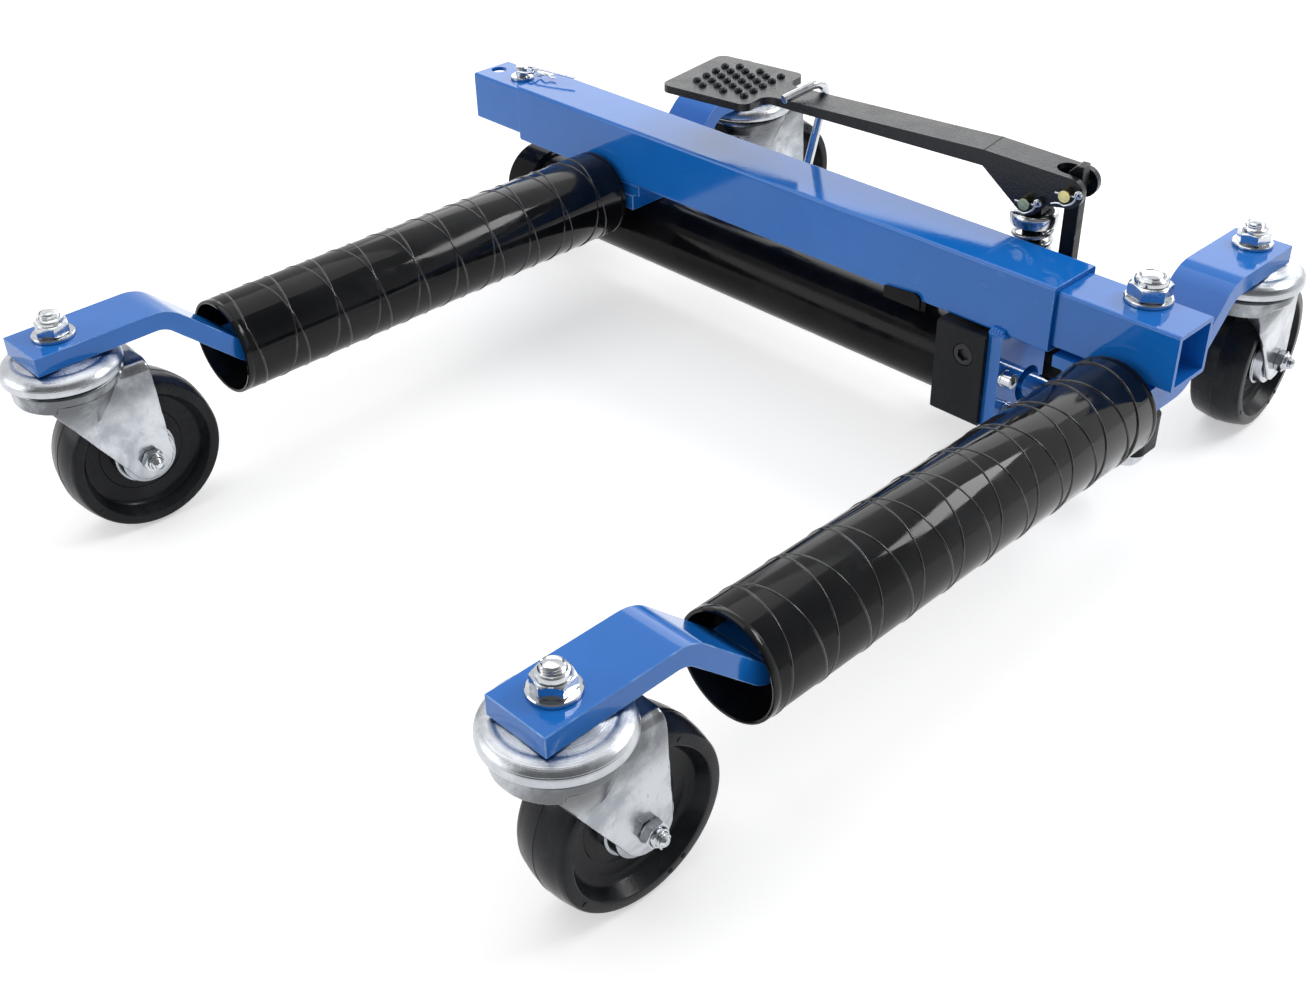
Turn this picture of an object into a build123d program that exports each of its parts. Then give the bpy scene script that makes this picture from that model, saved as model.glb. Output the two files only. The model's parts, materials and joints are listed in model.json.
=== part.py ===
"""Vehicle positioning dolly: a telescoping beam with two roller arms on casters and a foot-pumped ram.

Millimetres, +Z up. X runs along the beam and the arms reach towards -Y. Shapes are drawn from
the middle of the inner tube, with y = 0 at the beam's centre line, and heights are drawn from a
level just above the floor. The shift then puts the origin on the floor under the middle of the
whole dolly.
"""
from build123d import *
from math import cos, pi, sin
import os

# Telescoping beam
outer_side = 45.0
inner_side = 38.0
outer_corner = 2.5
inner_corner = 2.0
tube_wall = 3.0
inner_half = 325.0
outer_left = -267.0
outer_right = 241.0
beam_top = 143.0
beam_z = beam_top - outer_side / 2
outer_bottom = beam_top - outer_side
inner_bottom = beam_z - inner_side / 2
inner_top = beam_z + inner_side / 2

# Lock pin and its holes at the left end of the inner tube
lock_hole_r = 6.3
lock_pin_r = 6.0
lock_flange_r = 9.5
lock_flange_thick = 2.5
lock_head_r = 5.2
lock_head_high = 10.5
lock_ring_r = 6.5
lock_wire_r = 0.9
lock_x = -286.0
spare_lock_x = -316.0

# Arms: bent flat bars, axle and roller on each side
arm_x = {"left": -170.0, "right": 291.0}
bar_x = {"front_left": -166.0, "rear_left": -155.0, "front_right": 291.0, "rear_right": 291.0}
bar_width = 40.0
bar_thick = 12.0
bar_top = 137.0
bar_mid = bar_top - bar_thick / 2
bar_under = bar_top - bar_thick
front_stem = 474.0
front_end = 497.0
front_crest = 410.0
front_run = 53.0
rear_stem = 127.0
rear_end = 142.0
rear_crest = 74.0
bend_inner_r = 16.0
bend_outer_r = bend_inner_r + bar_thick
roller_z = 83.0
roller_r = 32.5
roller_wall = 2.5
roller_front = -366.0
roller_back = -26.0
axle_r = 15.0
axle_wall = 5.0
axle_front = -330.0
arm_joint_y = -22.0
bush_long = 22.0
bush_inset = 12.0
left_plate_x = (-210.0, -130.0)
right_plate_x = (244.0, 311.0)
plate_half_y = 20.0
run_gap = 0.08
hole_gap = 0.3

# Right arm bolt, which also pins the ram's rod
arm_bolt_x = 286.0
arm_bolt_r = 8.0
arm_bolt_hole_r = arm_bolt_r + hole_gap
arm_bolt_flats = 24.0
arm_bolt_head_z = (26.5, 36.5)
arm_washer_r = 15.0
arm_washer_thick = 3.0
arm_nut_high = 13.5
arm_thread_out = 0.4
spacer_half = 18.0
spacer_thick = 4.5

# Casters
head_r = 37.0
head_steel = 2.2
head_flat_r = 22.0
head_shoulder_r = 33.5
head_high = 11.0
race_deep = 6.6
fork_top = 111.6
fork_gap = 38.0
fork_steel = 3.0
fork_front = -22.0
fork_back = 46.0
fork_shoulder = 10.0
fork_tip_r = 15.0
crown_r = 32.4
skirt_low = 99.5
flare_low = 80.0
wheel_r = 52.0
wheel_axis_z = 44.0
floor_z = wheel_axis_z - wheel_r
wheel_width = 35.0
tread_edge_r = 50.3
rim_r = (43.5, 48.3)
web_r = (18.5, 34.0)
web_half = 6.0
hub_r = 17.0
trail = 33.5
stem_r = 6.0
stem_flats = 19.0
stem_head_high = 7.0
stem_washer_r = 13.0
stem_washer_thick = 2.5
stem_nut_high = 10.5
stem_thread_out = 3.0
axle_flats = 16.0
axle_head_high = 5.0
axle_thread_r = 4.0
axle_nut_flats = 13.0
axle_nut_high = 8.0
axle_thread_out = 3.0
ball_ring_r = 26.0
ball_r = 3.0
balls_per_ring = 16
axle_shoulder_r = 6.0
casters = {
    "front_left": ("left", -front_stem, -4.0),
    "rear_left": ("left", rear_stem, -3.0),
    "front_right": ("right", -front_stem, -3.0),
    "rear_right": ("right", rear_stem, 5.0),
}

# Ram and pump body under the beam
ram_y = 10.0
ram_z = 49.5
cylinder_r = 27.0
cylinder_bore_r = 20.0
cylinder_left = -280.0
end_cap_r = 30.5
end_cap_left = -292.0
end_cap_right = -262.0
rod_r = 9.0
rod_stub_r = 6.0
gland_r = 15.0
eye_half_x = 18.0
eye_half_y = 14.0
eye_half_z = 12.0
piston_left = -240.0
piston_right = -214.0
piston_grooves = (-233.0, -224.0)
groove_wide = 3.0
groove_deep = 2.0
lug_x = (113.0, 143.0)
lug_y = (-24.9, 14.0)
lug_short = 12.0
lug_thick = 4.6
lug_web_half = 8.0
lip_thick = 2.1
lip_top = (101.0, 104.0)
block_x = (162.0, 200.0)
block_y = (-30.0, 34.0)
block_z = (29.0, 96.0)
bracket_x = (200.0, 210.0)
bracket_y = (-26.0, 28.0)
bracket_low = 29.0
rod_window_r = 13.0
screw_places = ((-20.0, 67.0), (-14.0, 40.0))
screw_r = 4.0
screw_long = 20.0
screw_head_r = 5.2
screw_head_high = 6.8
screw_washer_r = 5.8
screw_washer_thick = 1.4
plug_r = 8.0
plug_depth = 5.0
plug_x = 184.4
plug_z = 77.8
valve_r = 5.0
valve_deep = 18.0
valve_knob_r = 9.0
valve_flutes = 10
valve_y = 24.0
valve_z = 84.0

# Foot pump, drawn along u (towards the fulcrum) and v (across) about the plunger's axis
pump_x = 174.7
pump_y = 51.0
pump_yaw = 8.0
lug_top = 66.0
lug_wide_u = (-16.0, 20.0)
lug_wide_v = (-20.0, 11.0)
lug_end_u = 38.0
lug_round_r = 17.0
barrel_seat_r = 10.0
barrel_low = 40.0
barrel_flats = 28.0
plunger_r = 7.0
plunger_low = 58.0
plunger_head_r = 8.0
plunger_head_v = 7.8
barrel_top = 100.0
barrel_neck_r = 8.5
barrel_base_top = 74.0
plunger_pin_z = 161.0
fulcrum_u = 26.7
fulcrum_z = 173.2
link_half = 5.0
link_base_z = 52.0
link_low = 43.0
link_top = 189.0
pump_pin_r = 4.0
eye_slack = 0.7
cap_r = 16.0
cap_low = 141.5
cap_high = 151.0
cap_recess = 4.5
spring_wire_r = 1.5
spring_mean_r = 12.4
spring_turns = 9
spring_seat_gap = 0.2

# Pedal lever
pedal_pivots = ((0.0, plunger_pin_z), (fulcrum_u, fulcrum_z))
pedal_top = 188.3
pad_thick = 5.5
pad_centre_u = -243.7
pad_side = 75.0
arm_width = 27.0
arm_skin = 4.0
arm_depth = 11.0
cheek_thick = 5.0
cheek_inner = arm_width / 2 - cheek_thick
kink_u = -34.5
ear_r = 10.2
cheek_tip_r = 9.5
arch_u = 11.0
arch_z = 166.0
arch_r = 5.0
notch_u = 12.0
pin_tail = 6.0
pin_head_r = 6.5
pin_head_high = 3.0
pin_clip_r = 0.9
stud_counts = (4, 5, 4, 5, 4, 5)
stud_first_u = -263.2
stud_row_gap = 9.1
stud_pitch = 11.6
stud_r = 3.3
stud_high = 2.4

# Hook that holds the pedal down
hook_wire_r = 3.2
hook_pivot = (-39.0, 46.0, 110.0)
hook_crown = (-0.5, 46.0, 198.5)
hook_end = (-8.0, 6.0, 190.9)
hook_bend_r = 13.0
hook_foot = 9.0
hook_toe = 17.0
hook_tab_thick = 5.0
hook_tab_half = 9.0

# The origin lies on the floor, midway between the left tube end and the right heads, and between
# the front heads and the rear wheels
beam_x = (inner_half - arm_x["right"] - head_r) / 2
beam_y = (front_stem + head_r - rear_stem - trail - wheel_r) / 2
shift = Pos(beam_x, beam_y, -floor_z)

nodes = {}


def add(name, *shapes):
    """Keep one node: a solid, or a group of separate solids."""
    placed = [shift * shape for shape in shapes]
    nodes[name] = placed[0] if len(placed) == 1 else Compound(children=placed)


def span_box(x, y, z):
    """Box between low and high values on each axis."""
    size = [high - low for low, high in (x, y, z)]
    middle = [(high + low) / 2 for low, high in (x, y, z)]
    return Pos(*middle) * Box(*size)


def rod(radius, start, end):
    """Round bar from one point to another."""
    direction = Vector(*end) - Vector(*start)
    return extrude(Plane(origin=start, z_dir=direction) * Circle(radius), amount=direction.length)


def hex_bar(across_flats, start, end):
    """Six-sided bar from one point to another."""
    direction = Vector(*end) - Vector(*start)
    outline = RegularPolygon(across_flats / 2, 6, major_radius=False)
    return extrude(Plane(origin=start, z_dir=direction) * outline, amount=direction.length)


def turned(points):
    """Solid of revolution about Z from (radius, height) points."""
    return revolve(Plane.XZ * make_face(Polyline(*points, close=True)), Axis.Z)


def lock_nut(across_flats, high, bore_r):
    """Nut with a round collar, standing on z = 0."""
    hexagon = hex_bar(across_flats, (0, 0, 0), (0, 0, high * 0.72))
    corner = across_flats * 0.58
    cone = turned([(0, 0), (across_flats / 2, 0), (corner, 1), (corner, high * 0.6),
                   (across_flats * 0.46, high * 0.72), (0, high * 0.72)])
    collar = rod(across_flats * 0.42, (0, 0, 0), (0, 0, high))
    collar = fillet(collar.edges().sort_by(Axis.Z)[-1], high * 0.15)
    return (hexagon & cone) + collar - rod(bore_r, (0, 0, -1), (0, 0, high + 1))


def washer(outer_r, bore_r, thick):
    """Flat washer standing on z = 0."""
    return rod(outer_r, (0, 0, 0), (0, 0, thick)) - rod(bore_r, (0, 0, -1), (0, 0, thick + 1))


def square_tube(side, corner, x_low, x_high):
    """Rounded square tube along X, centred on the beam's axis."""
    plane = Plane(origin=(x_low, 0, beam_z), x_dir=(0, 1, 0), z_dir=(1, 0, 0))
    hollow = side - 2 * tube_wall
    outline = RectangleRounded(side, side, corner) - RectangleRounded(hollow, hollow, corner / 2)
    return extrude(plane * outline, amount=x_high - x_low)


def strip(points, thick):
    """Closed outline of a flat bar whose middle line runs through the points."""
    path = [Vector(*point) for point in points]
    upper, lower = [], []
    for index, point in enumerate(path):
        before = (point - path[max(index - 1, 0)]).normalized() if index else None
        after = (path[index + 1] - point).normalized() if index + 1 < len(path) else before
        before = before or after
        normal = (before + after).normalized().rotate(Axis.Z, 90)
        reach = thick / 2 / normal.dot(before.rotate(Axis.Z, 90))
        upper.append(point + normal * reach)
        lower.append(point - normal * reach)
    return upper + lower[::-1]


def bent_bar(x, points):
    """Bent flat bar across X from its middle line in (y, z), rounded at both bends."""
    outline = make_face(Polyline(*strip(points, bar_thick), close=True))
    first, last = sorted((points[0][0], points[-1][0]))
    radius_at = {"outer": bend_outer_r, "inner": bend_inner_r}
    for which, radius in radius_at.items():
        bends = []
        for corner in outline.vertices():
            outside = corner.Y > bar_mid or corner.Y < roller_z
            if first < corner.X < last and outside == (which == "outer"):
                bends.append(corner)
        outline = fillet(bends[:2], radius)
    plane = Plane(origin=(x - bar_width / 2, 0, 0), x_dir=(0, 1, 0), z_dir=(1, 0, 0))
    return extrude(plane * outline, amount=bar_width)


def beam():
    """The two telescoping tubes."""
    add("outer_tube", square_tube(outer_side, outer_corner, outer_left, outer_right))
    inner = square_tube(inner_side, inner_corner, -inner_half, inner_half)
    for x in (lock_x, spare_lock_x):
        inner -= rod(lock_hole_r, (x, 0, 0), (x, 0, beam_top))
    add("inner_tube", inner - arm_bolt_hole())


def arm_plate(side):
    """Plate between a rear bar and its tube; the right one has a spacer under the inner tube."""
    low = roller_z + bar_thick / 2
    if side == "left":
        return span_box(left_plate_x, (-plate_half_y, plate_half_y), (low, outer_bottom))
    spacer_low = inner_bottom - spacer_thick
    plate = span_box(right_plate_x, (-plate_half_y, plate_half_y), (low, spacer_low))
    return plate + span_box((arm_bolt_x - spacer_half, arm_bolt_x + spacer_half), (-spacer_half, spacer_half),
                            (spacer_low, inner_bottom))


def arm(side):
    """Bars, plate, axle, roller and bushes of one arm."""
    x = arm_x[side]
    front_x = bar_x["front_" + side]
    rear_x = bar_x["rear_" + side]
    drop = bar_mid - roller_z
    front = bent_bar(front_x, [(-front_end, bar_mid), (-front_crest, bar_mid),
                               (-front_crest + front_run, roller_z), (axle_front, roller_z)])
    rear = bent_bar(rear_x, [(arm_joint_y, roller_z), (rear_crest - drop, roller_z),
                             (rear_crest, bar_mid), (rear_end, bar_mid)])
    plate = arm_plate(side)
    front -= rod(stem_r + hole_gap, (front_x, -front_stem, 0), (front_x, -front_stem, beam_top))
    rear -= rod(stem_r + hole_gap, (rear_x, rear_stem, 0), (rear_x, rear_stem, beam_top))
    if side == "right":
        plate -= arm_bolt_hole()
        rear -= arm_bolt_hole()
    add(side + "_front_bar", front)
    add(side + "_rear_bar", rear)
    add(side + "_arm_plate", plate)

    def along(radius, low, high):
        return rod(radius, (x, low, roller_z), (x, high, roller_z))

    add(side + "_axle", along(axle_r, axle_front, arm_joint_y) -
        along(axle_r - axle_wall, axle_front - 1, arm_joint_y + 1))
    bore_r = roller_r - roller_wall
    roller = along(roller_r, roller_front, roller_back) - along(bore_r, roller_front - 1, roller_back + 1)
    add(side + "_roller", fillet(roller.edges().filter_by(GeomType.CIRCLE), 0.9))
    bushes = []
    for low in (axle_front + bush_inset / 2, roller_back - bush_inset - bush_long):
        bushes.append(along(bore_r, low, low + bush_long) -
                      along(axle_r + run_gap, low - 1, low + bush_long + 1))
    add(side + "_roller_bushes", *bushes)


def arm_bolt_hole():
    """Hole for the arm bolt, through everything that it ties together."""
    return rod(arm_bolt_hole_r, (arm_bolt_x, ram_y, 0), (arm_bolt_x, ram_y, beam_top))


def arm_bolt():
    """Long bolt through inner tube, plate, rear bar and rod eye, with its washers and lock nut."""
    x, y = arm_bolt_x, ram_y
    head_low, head_high = arm_bolt_head_z
    nut_low = inner_top + arm_washer_thick
    end = nut_low + arm_nut_high + arm_thread_out
    shank = chamfer(rod(arm_bolt_r, (x, y, head_high), (x, y, end)).edges().sort_by(Axis.Z)[-1], 0.8)
    add("arm_bolt", hex_bar(arm_bolt_flats, (x, y, head_low), (x, y, head_high)) + shank)
    rod_eye_low = ram_z - eye_half_z
    add("arm_bolt_nut",
        Pos(x, y, head_high) * washer(arm_washer_r, arm_bolt_r, rod_eye_low - head_high),
        Pos(x, y, inner_top) * washer(arm_washer_r, arm_bolt_r, arm_washer_thick),
        Pos(x, y, nut_low) * lock_nut(arm_bolt_flats, arm_nut_high, arm_bolt_r))


def lock_pin():
    """Safety pin with a shouldered head, and the ring and hairpin clip on it."""
    low = inner_bottom - 6
    top = inner_top + 0.2
    flange_top = top + lock_flange_thick
    head_top = top + lock_head_high
    ring_z = top + 7.3
    leg = 2.6
    pin = turned([(0, low), (lock_pin_r - 1.5, low), (lock_pin_r, low + 2), (lock_pin_r, top),
                  (lock_flange_r, top), (lock_flange_r, flange_top), (lock_head_r, flange_top),
                  (lock_head_r, head_top - 1.5), (lock_head_r - 1.4, head_top), (0, head_top)])
    cross_hole = rod(lock_wire_r + 0.5, (lock_x, -7, ring_z), (lock_x, 7, ring_z))
    ring = Pos(lock_x + lock_ring_r, 0, ring_z) * Torus(lock_ring_r, lock_wire_r)
    loop_x = lock_x + 2 * lock_ring_r - leg
    upper, lower = ring_z + leg, ring_z - leg
    path = FilletPolyline((loop_x + 50, 0, upper), (loop_x, 0, upper), (loop_x, 0, lower),
                          (loop_x + 8, 0, lower), (loop_x + 13, 0, ring_z), (loop_x + 18, 0, lower),
                          (loop_x + 24, 0, lower + 0.5), radius=1.6)
    hairpin = sweep(Plane(path @ 0, z_dir=path % 0) * Circle(lock_wire_r), path=path)
    add("lock_pin", Pos(lock_x, 0, 0) * pin - cross_hole - ring)
    add("lock_pin_clip", ring, hairpin)


def ram():
    """Cylinder with its end cap and lug, gland, piston and rod of the ram."""
    def along(radius, low, high):
        return rod(radius, (low, ram_y, ram_z), (high, ram_y, ram_z))

    add("cylinder_tube", along(cylinder_r, cylinder_left, block_x[0]) -
        along(cylinder_bore_r, cylinder_left - 1, block_x[0] + 1))
    cap = chamfer(along(end_cap_r, end_cap_left, end_cap_right).edges().filter_by(GeomType.CIRCLE), 2.5)
    add("cylinder_end_cap", cap - along(cylinder_r, cylinder_left, end_cap_right + 1))
    lug_low = outer_bottom - hole_gap - lug_thick
    lug = span_box((lug_x[0], lug_x[1] - lug_short), lug_y, (lug_low, lug_low + lug_thick))
    lug = fillet(lug.edges().filter_by(Axis.Z).sort_by(Axis.Y)[-2:], 6)
    web_middle = lug_x[0] + lug_web_half
    lug += span_box((web_middle - lug_web_half, web_middle + lug_web_half),
                    (ram_y - lug_web_half, ram_y + lug_web_half), (ram_z, lug_low))
    lip = make_face(Polyline((lug_x[0], lug_low), (lug_x[1], lug_low), (lug_x[1], lip_top[1]),
                             (lug_x[0], lip_top[0]), close=True))
    lip = fillet(lip.vertices().group_by(Axis.Y)[-1], 5)
    lug += extrude(Plane(origin=(0, lug_y[0] + lip_thick, 0), x_dir=(1, 0, 0), z_dir=(0, -1, 0)) * lip,
                   amount=lip_thick)
    add("cylinder_lug", lug - along(cylinder_r, *lug_x))
    add("rod_gland", along(gland_r, *block_x) - along(rod_r + run_gap, block_x[0] - 1, block_x[1] + 1))
    piston = along(cylinder_bore_r - run_gap, piston_left, piston_right)
    for x in piston_grooves:
        piston -= (along(cylinder_bore_r, x, x + groove_wide) -
                   along(cylinder_bore_r - groove_deep, x, x + groove_wide))
    stub = along(rod_stub_r, piston_left, piston_right)
    add("piston", piston - stub)
    shaft = along(rod_r, piston_right, arm_bolt_x)
    eye = Pos(arm_bolt_x, ram_y, ram_z) * Box(2 * eye_half_x, 2 * eye_half_y, 2 * eye_half_z)
    eye = fillet(eye.edges().filter_by(Axis.Z), 8)
    boss = rod(eye_half_y, (arm_bolt_x, ram_y, ram_z), (arm_bolt_x, ram_y, roller_z - bar_thick / 2))
    add("piston_rod", stub + shaft + eye + boss - arm_bolt_hole())


def pump_frame(shape):
    """Place a shape drawn in the pump's own u, v, z directions."""
    return Pos(pump_x, pump_y, 0) * Rot(0, 0, pump_yaw) * shape


def pump_lug():
    """Rear lug of the pump block, in the pump's own directions."""
    lug = span_box(lug_wide_u, lug_wide_v, (block_z[0], lug_top))
    lug += span_box((lug_wide_u[1] - 1, lug_end_u), (-lug_wide_v[1], lug_wide_v[1]), (block_z[0], lug_top))
    return lug + rod(lug_round_r, (0, 0, block_z[0]), (0, 0, lug_top))


def pump_lug_holes():
    """Slot and pin hole for the link bar, and the seat for the barrel, in the pump's own directions."""
    half_u = link_half + 0.8
    half_v = link_half + hole_gap
    slot = span_box((fulcrum_u - half_u, fulcrum_u + half_u), (-half_v, half_v), (link_low - 4, lug_top + 1))
    seat = rod(barrel_seat_r, (0, 0, barrel_low), (0, 0, lug_top + 1))
    return slot + link_base_pin() + seat


def pump_body():
    """Pump block, bracket plate, their screws and the port plug."""
    block = chamfer(span_box(block_x, block_y, block_z).edges().filter_by(Axis.X), 1.5)
    block += pump_frame(pump_lug())
    block -= pump_frame(pump_lug_holes())
    block -= rod(gland_r, (block_x[0] - 1, ram_y, ram_z), (block_x[1] + 1, ram_y, ram_z))
    block -= rod(cylinder_r, (cylinder_left, ram_y, ram_z), (block_x[0], ram_y, ram_z))
    valve_end = block_x[0] + valve_deep
    block -= rod(valve_r + run_gap, (block_x[0] - 1, valve_y, valve_z), (valve_end + 2, valve_y, valve_z))
    plate = span_box(bracket_x, bracket_y, (bracket_low, outer_bottom))
    plate -= rod(rod_window_r, (bracket_x[0] - 1, ram_y, ram_z), (bracket_x[1] + 1, ram_y, ram_z))
    screws = []
    face = bracket_x[1]
    under_head = face + screw_washer_thick
    head_end = under_head + screw_head_high
    for y, z in screw_places:
        shank = rod(screw_r, (block_x[1] - screw_long, y, z), (under_head, y, z))
        block -= shank
        plate -= shank
        screw = shank + rod(screw_washer_r, (face, y, z), (under_head, y, z))
        screw += rod(screw_head_r, (under_head, y, z), (head_end, y, z))
        screws.append(screw - hex_bar(screw_head_r, (head_end - 4, y, z), (head_end + 1, y, z)))
    plug_start = (plug_x, block_y[0], plug_z)
    plug_end = (plug_x, block_y[0] + plug_depth, plug_z)
    block -= rod(plug_r, plug_start, plug_end)
    plug = chamfer(rod(plug_r, plug_start, plug_end).edges().sort_by(Axis.Y)[0], 0.8)
    add("port_plug", plug - hex_bar(plug_r, plug_start, (plug_x, block_y[0] + plug_depth / 2, plug_z)))
    add("pump_block", block)
    add("bracket_screws", *screws)
    add("bracket_plate", plate)


def release_valve():
    """Hand valve with a fluted knob in the pump block's left face."""
    knob_start = (block_x[0] - 14, valve_y, valve_z)
    knob_end = (block_x[0] - 4, valve_y, valve_z)
    knob = chamfer(rod(valve_knob_r, knob_start, knob_end).edges(), 1)
    for step in range(valve_flutes):
        turn = 2 * pi * step / valve_flutes
        flute_y = valve_y + (valve_knob_r + 0.6) * cos(turn)
        flute_z = valve_z + (valve_knob_r + 0.6) * sin(turn)
        knob -= rod(1.6, (knob_start[0] - 1, flute_y, flute_z), (knob_end[0] + 1, flute_y, flute_z))
    add("release_valve", knob + rod(valve_r, knob_end, (block_x[0] + valve_deep, valve_y, valve_z)))


def link_base_pin():
    """Pin that carries the link bar in the pump block's slot."""
    reach = lug_wide_v[1]
    return rod(pump_pin_r, (fulcrum_u, -reach, link_base_z), (fulcrum_u, reach, link_base_z))


def biarc(start, start_way, end, end_way):
    """Two arcs that leave start and reach end along the given directions."""
    chord = end - start
    both = start_way + end_way
    bend = 2 * (1 - start_way.dot(end_way))
    reach = ((chord.dot(both) ** 2 + bend * chord.dot(chord)) ** 0.5 - chord.dot(both)) / bend
    first = start + start_way * reach
    second = end - end_way * reach
    middle = (first + second) * 0.5
    return [TangentArc(start, middle, tangent=start_way), TangentArc(middle, end, tangent=second - first)]


def coil(radius, low, high, turns):
    """Middle line of a coil about Z as quarter-turn biarcs, with sample points on it."""
    rise = (high - low) / (2 * pi * turns)

    def point(turn):
        return Vector(radius * cos(turn), radius * sin(turn), low + rise * turn)

    def way(turn):
        return Vector(-radius * sin(turn), radius * cos(turn), rise).normalized()

    arcs = []
    for quarter in range(4 * turns):
        start, end = quarter * pi / 2, (quarter + 1) * pi / 2
        arcs += biarc(point(start), way(start), point(end), way(end))
    return Wire(arcs), [point(step * pi / 12) for step in range(24 * turns)]


def plunger_group():
    """Pump barrel, plunger, spring cap and return spring."""
    barrel = rod(barrel_seat_r, (0, 0, barrel_low), (0, 0, lug_top))
    barrel += hex_bar(barrel_flats, (0, 0, lug_top), (0, 0, barrel_base_top))
    barrel += rod(barrel_neck_r, (0, 0, lug_top), (0, 0, barrel_top))
    barrel -= rod(plunger_r + run_gap / 2, (0, 0, barrel_low + 6), (0, 0, barrel_top + 1))
    add("pump_barrel", pump_frame(barrel))
    seat_z = cap_low + cap_recess
    shank = rod(plunger_r, (0, 0, plunger_low), (0, 0, cap_high))
    across = (-plunger_head_v, plunger_head_v)
    head = span_box((-plunger_head_r, plunger_head_r), across, (cap_high, plunger_pin_z))
    head += rod(plunger_head_r, (0, across[0], plunger_pin_z), (0, across[1], plunger_pin_z))
    eye = rod(pump_pin_r + eye_slack, (0, -cheek_inner, plunger_pin_z), (0, cheek_inner, plunger_pin_z))
    add("plunger", pump_frame(shank + head - eye))
    cap = turned([(plunger_r, seat_z), (cap_r - 1.6, seat_z), (cap_r - 1.6, cap_low), (cap_r, cap_low),
                  (cap_r, cap_high - 4), (cap_r - 3, cap_high), (plunger_r, cap_high)])
    add("spring_cap", pump_frame(cap))
    low = barrel_base_top + spring_wire_r + spring_seat_gap
    high = seat_z - spring_wire_r - spring_seat_gap
    path, samples = coil(spring_mean_r, low, high, spring_turns)
    wire = sweep(Plane(path @ 0, z_dir=path % 0) * Circle(spring_wire_r), path=path)
    add("plunger_spring", pump_frame(wire))
    gaps = [(a - b).length for index, a in enumerate(samples) for b in samples[index + 12:]]
    print("least gap in plunger_spring", round(min(gaps) - 2 * spring_wire_r, 2), "mm")


def pedal_stud():
    """Four-sided point of the pad's tread, standing on z = 0."""
    foot = Plane.XY.offset(-0.2) * RegularPolygon(stud_r, 4)
    tip = Plane.XY.offset(stud_high) * RegularPolygon(stud_r * 0.3, 4)
    return loft([foot, tip])


def pedal_lever():
    """Pressed lever: studded pad, arm as a channel open below, and two cheeks with pin holes."""
    pad_end = pad_centre_u + pad_side / 2
    pad_low = pedal_top - pad_thick
    ear_top = fulcrum_z + ear_r
    neck = (pad_end - 5, pad_end + 16)
    outline = Pos(pad_centre_u, 0) * RectangleRounded(pad_side, pad_side, 7)
    outline += Pos(sum(neck) / 2, 0) * Rectangle(neck[1] - neck[0], arm_width)
    necks = outline.vertices().filter_by(
        lambda corner: abs(corner.X - pad_end) < 0.1 and abs(abs(corner.Y) - arm_width / 2) < 0.1)
    lever = extrude(Plane.XY.offset(pad_low) * fillet(necks, 9), amount=pad_thick)
    across = Plane(origin=(0, arm_width / 2, 0), x_dir=(1, 0, 0), z_dir=(0, -1, 0))
    side_view = make_face(Polyline((neck[0], pad_low), (kink_u, pedal_top - arm_depth), (kink_u, pedal_top),
                                   (neck[0], pedal_top), close=True))
    kink = Line((kink_u, pedal_top - arm_depth), (kink_u, pedal_top))
    ear = (Pos(fulcrum_u, fulcrum_z) * Circle(ear_r)).edges()
    arch = (Pos(arch_u, arch_z) * Circle(arch_r)).edges()
    tip = (Pos(0, plunger_pin_z) * Circle(cheek_tip_r)).edges()
    side_view += make_hull([kink, *ear]) + make_hull([*arch, *ear]) + make_hull([kink, *tip, *arch])
    lever += extrude(across * side_view, amount=arm_width)
    pocket = make_face(Polyline((neck[1], link_low), (neck[1], pedal_top - arm_skin), (kink_u, pedal_top - arm_skin),
                                (fulcrum_u, ear_top - arm_skin), (fulcrum_u, link_low), close=True))
    inside = Plane(origin=(0, cheek_inner, 0), x_dir=(1, 0, 0), z_dir=(0, -1, 0))
    lever -= extrude(inside * pocket, amount=2 * cheek_inner)
    notch_round = notch_u + cheek_inner
    lever -= span_box((notch_round, fulcrum_u + 2 * ear_r), (-cheek_inner, cheek_inner), (link_low, link_top))
    lever -= rod(cheek_inner, (notch_round, 0, link_low), (notch_round, 0, link_top))
    stud = pedal_stud()
    for row, count in enumerate(stud_counts):
        for place in range(count):
            v = (place - (count - 1) / 2) * stud_pitch
            lever += Pos(stud_first_u + row * stud_row_gap, v, pedal_top) * stud
    for u, z in pedal_pivots:
        lever -= rod(pump_pin_r, (u, -pad_side, z), (u, pad_side, z))
    return lever


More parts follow.
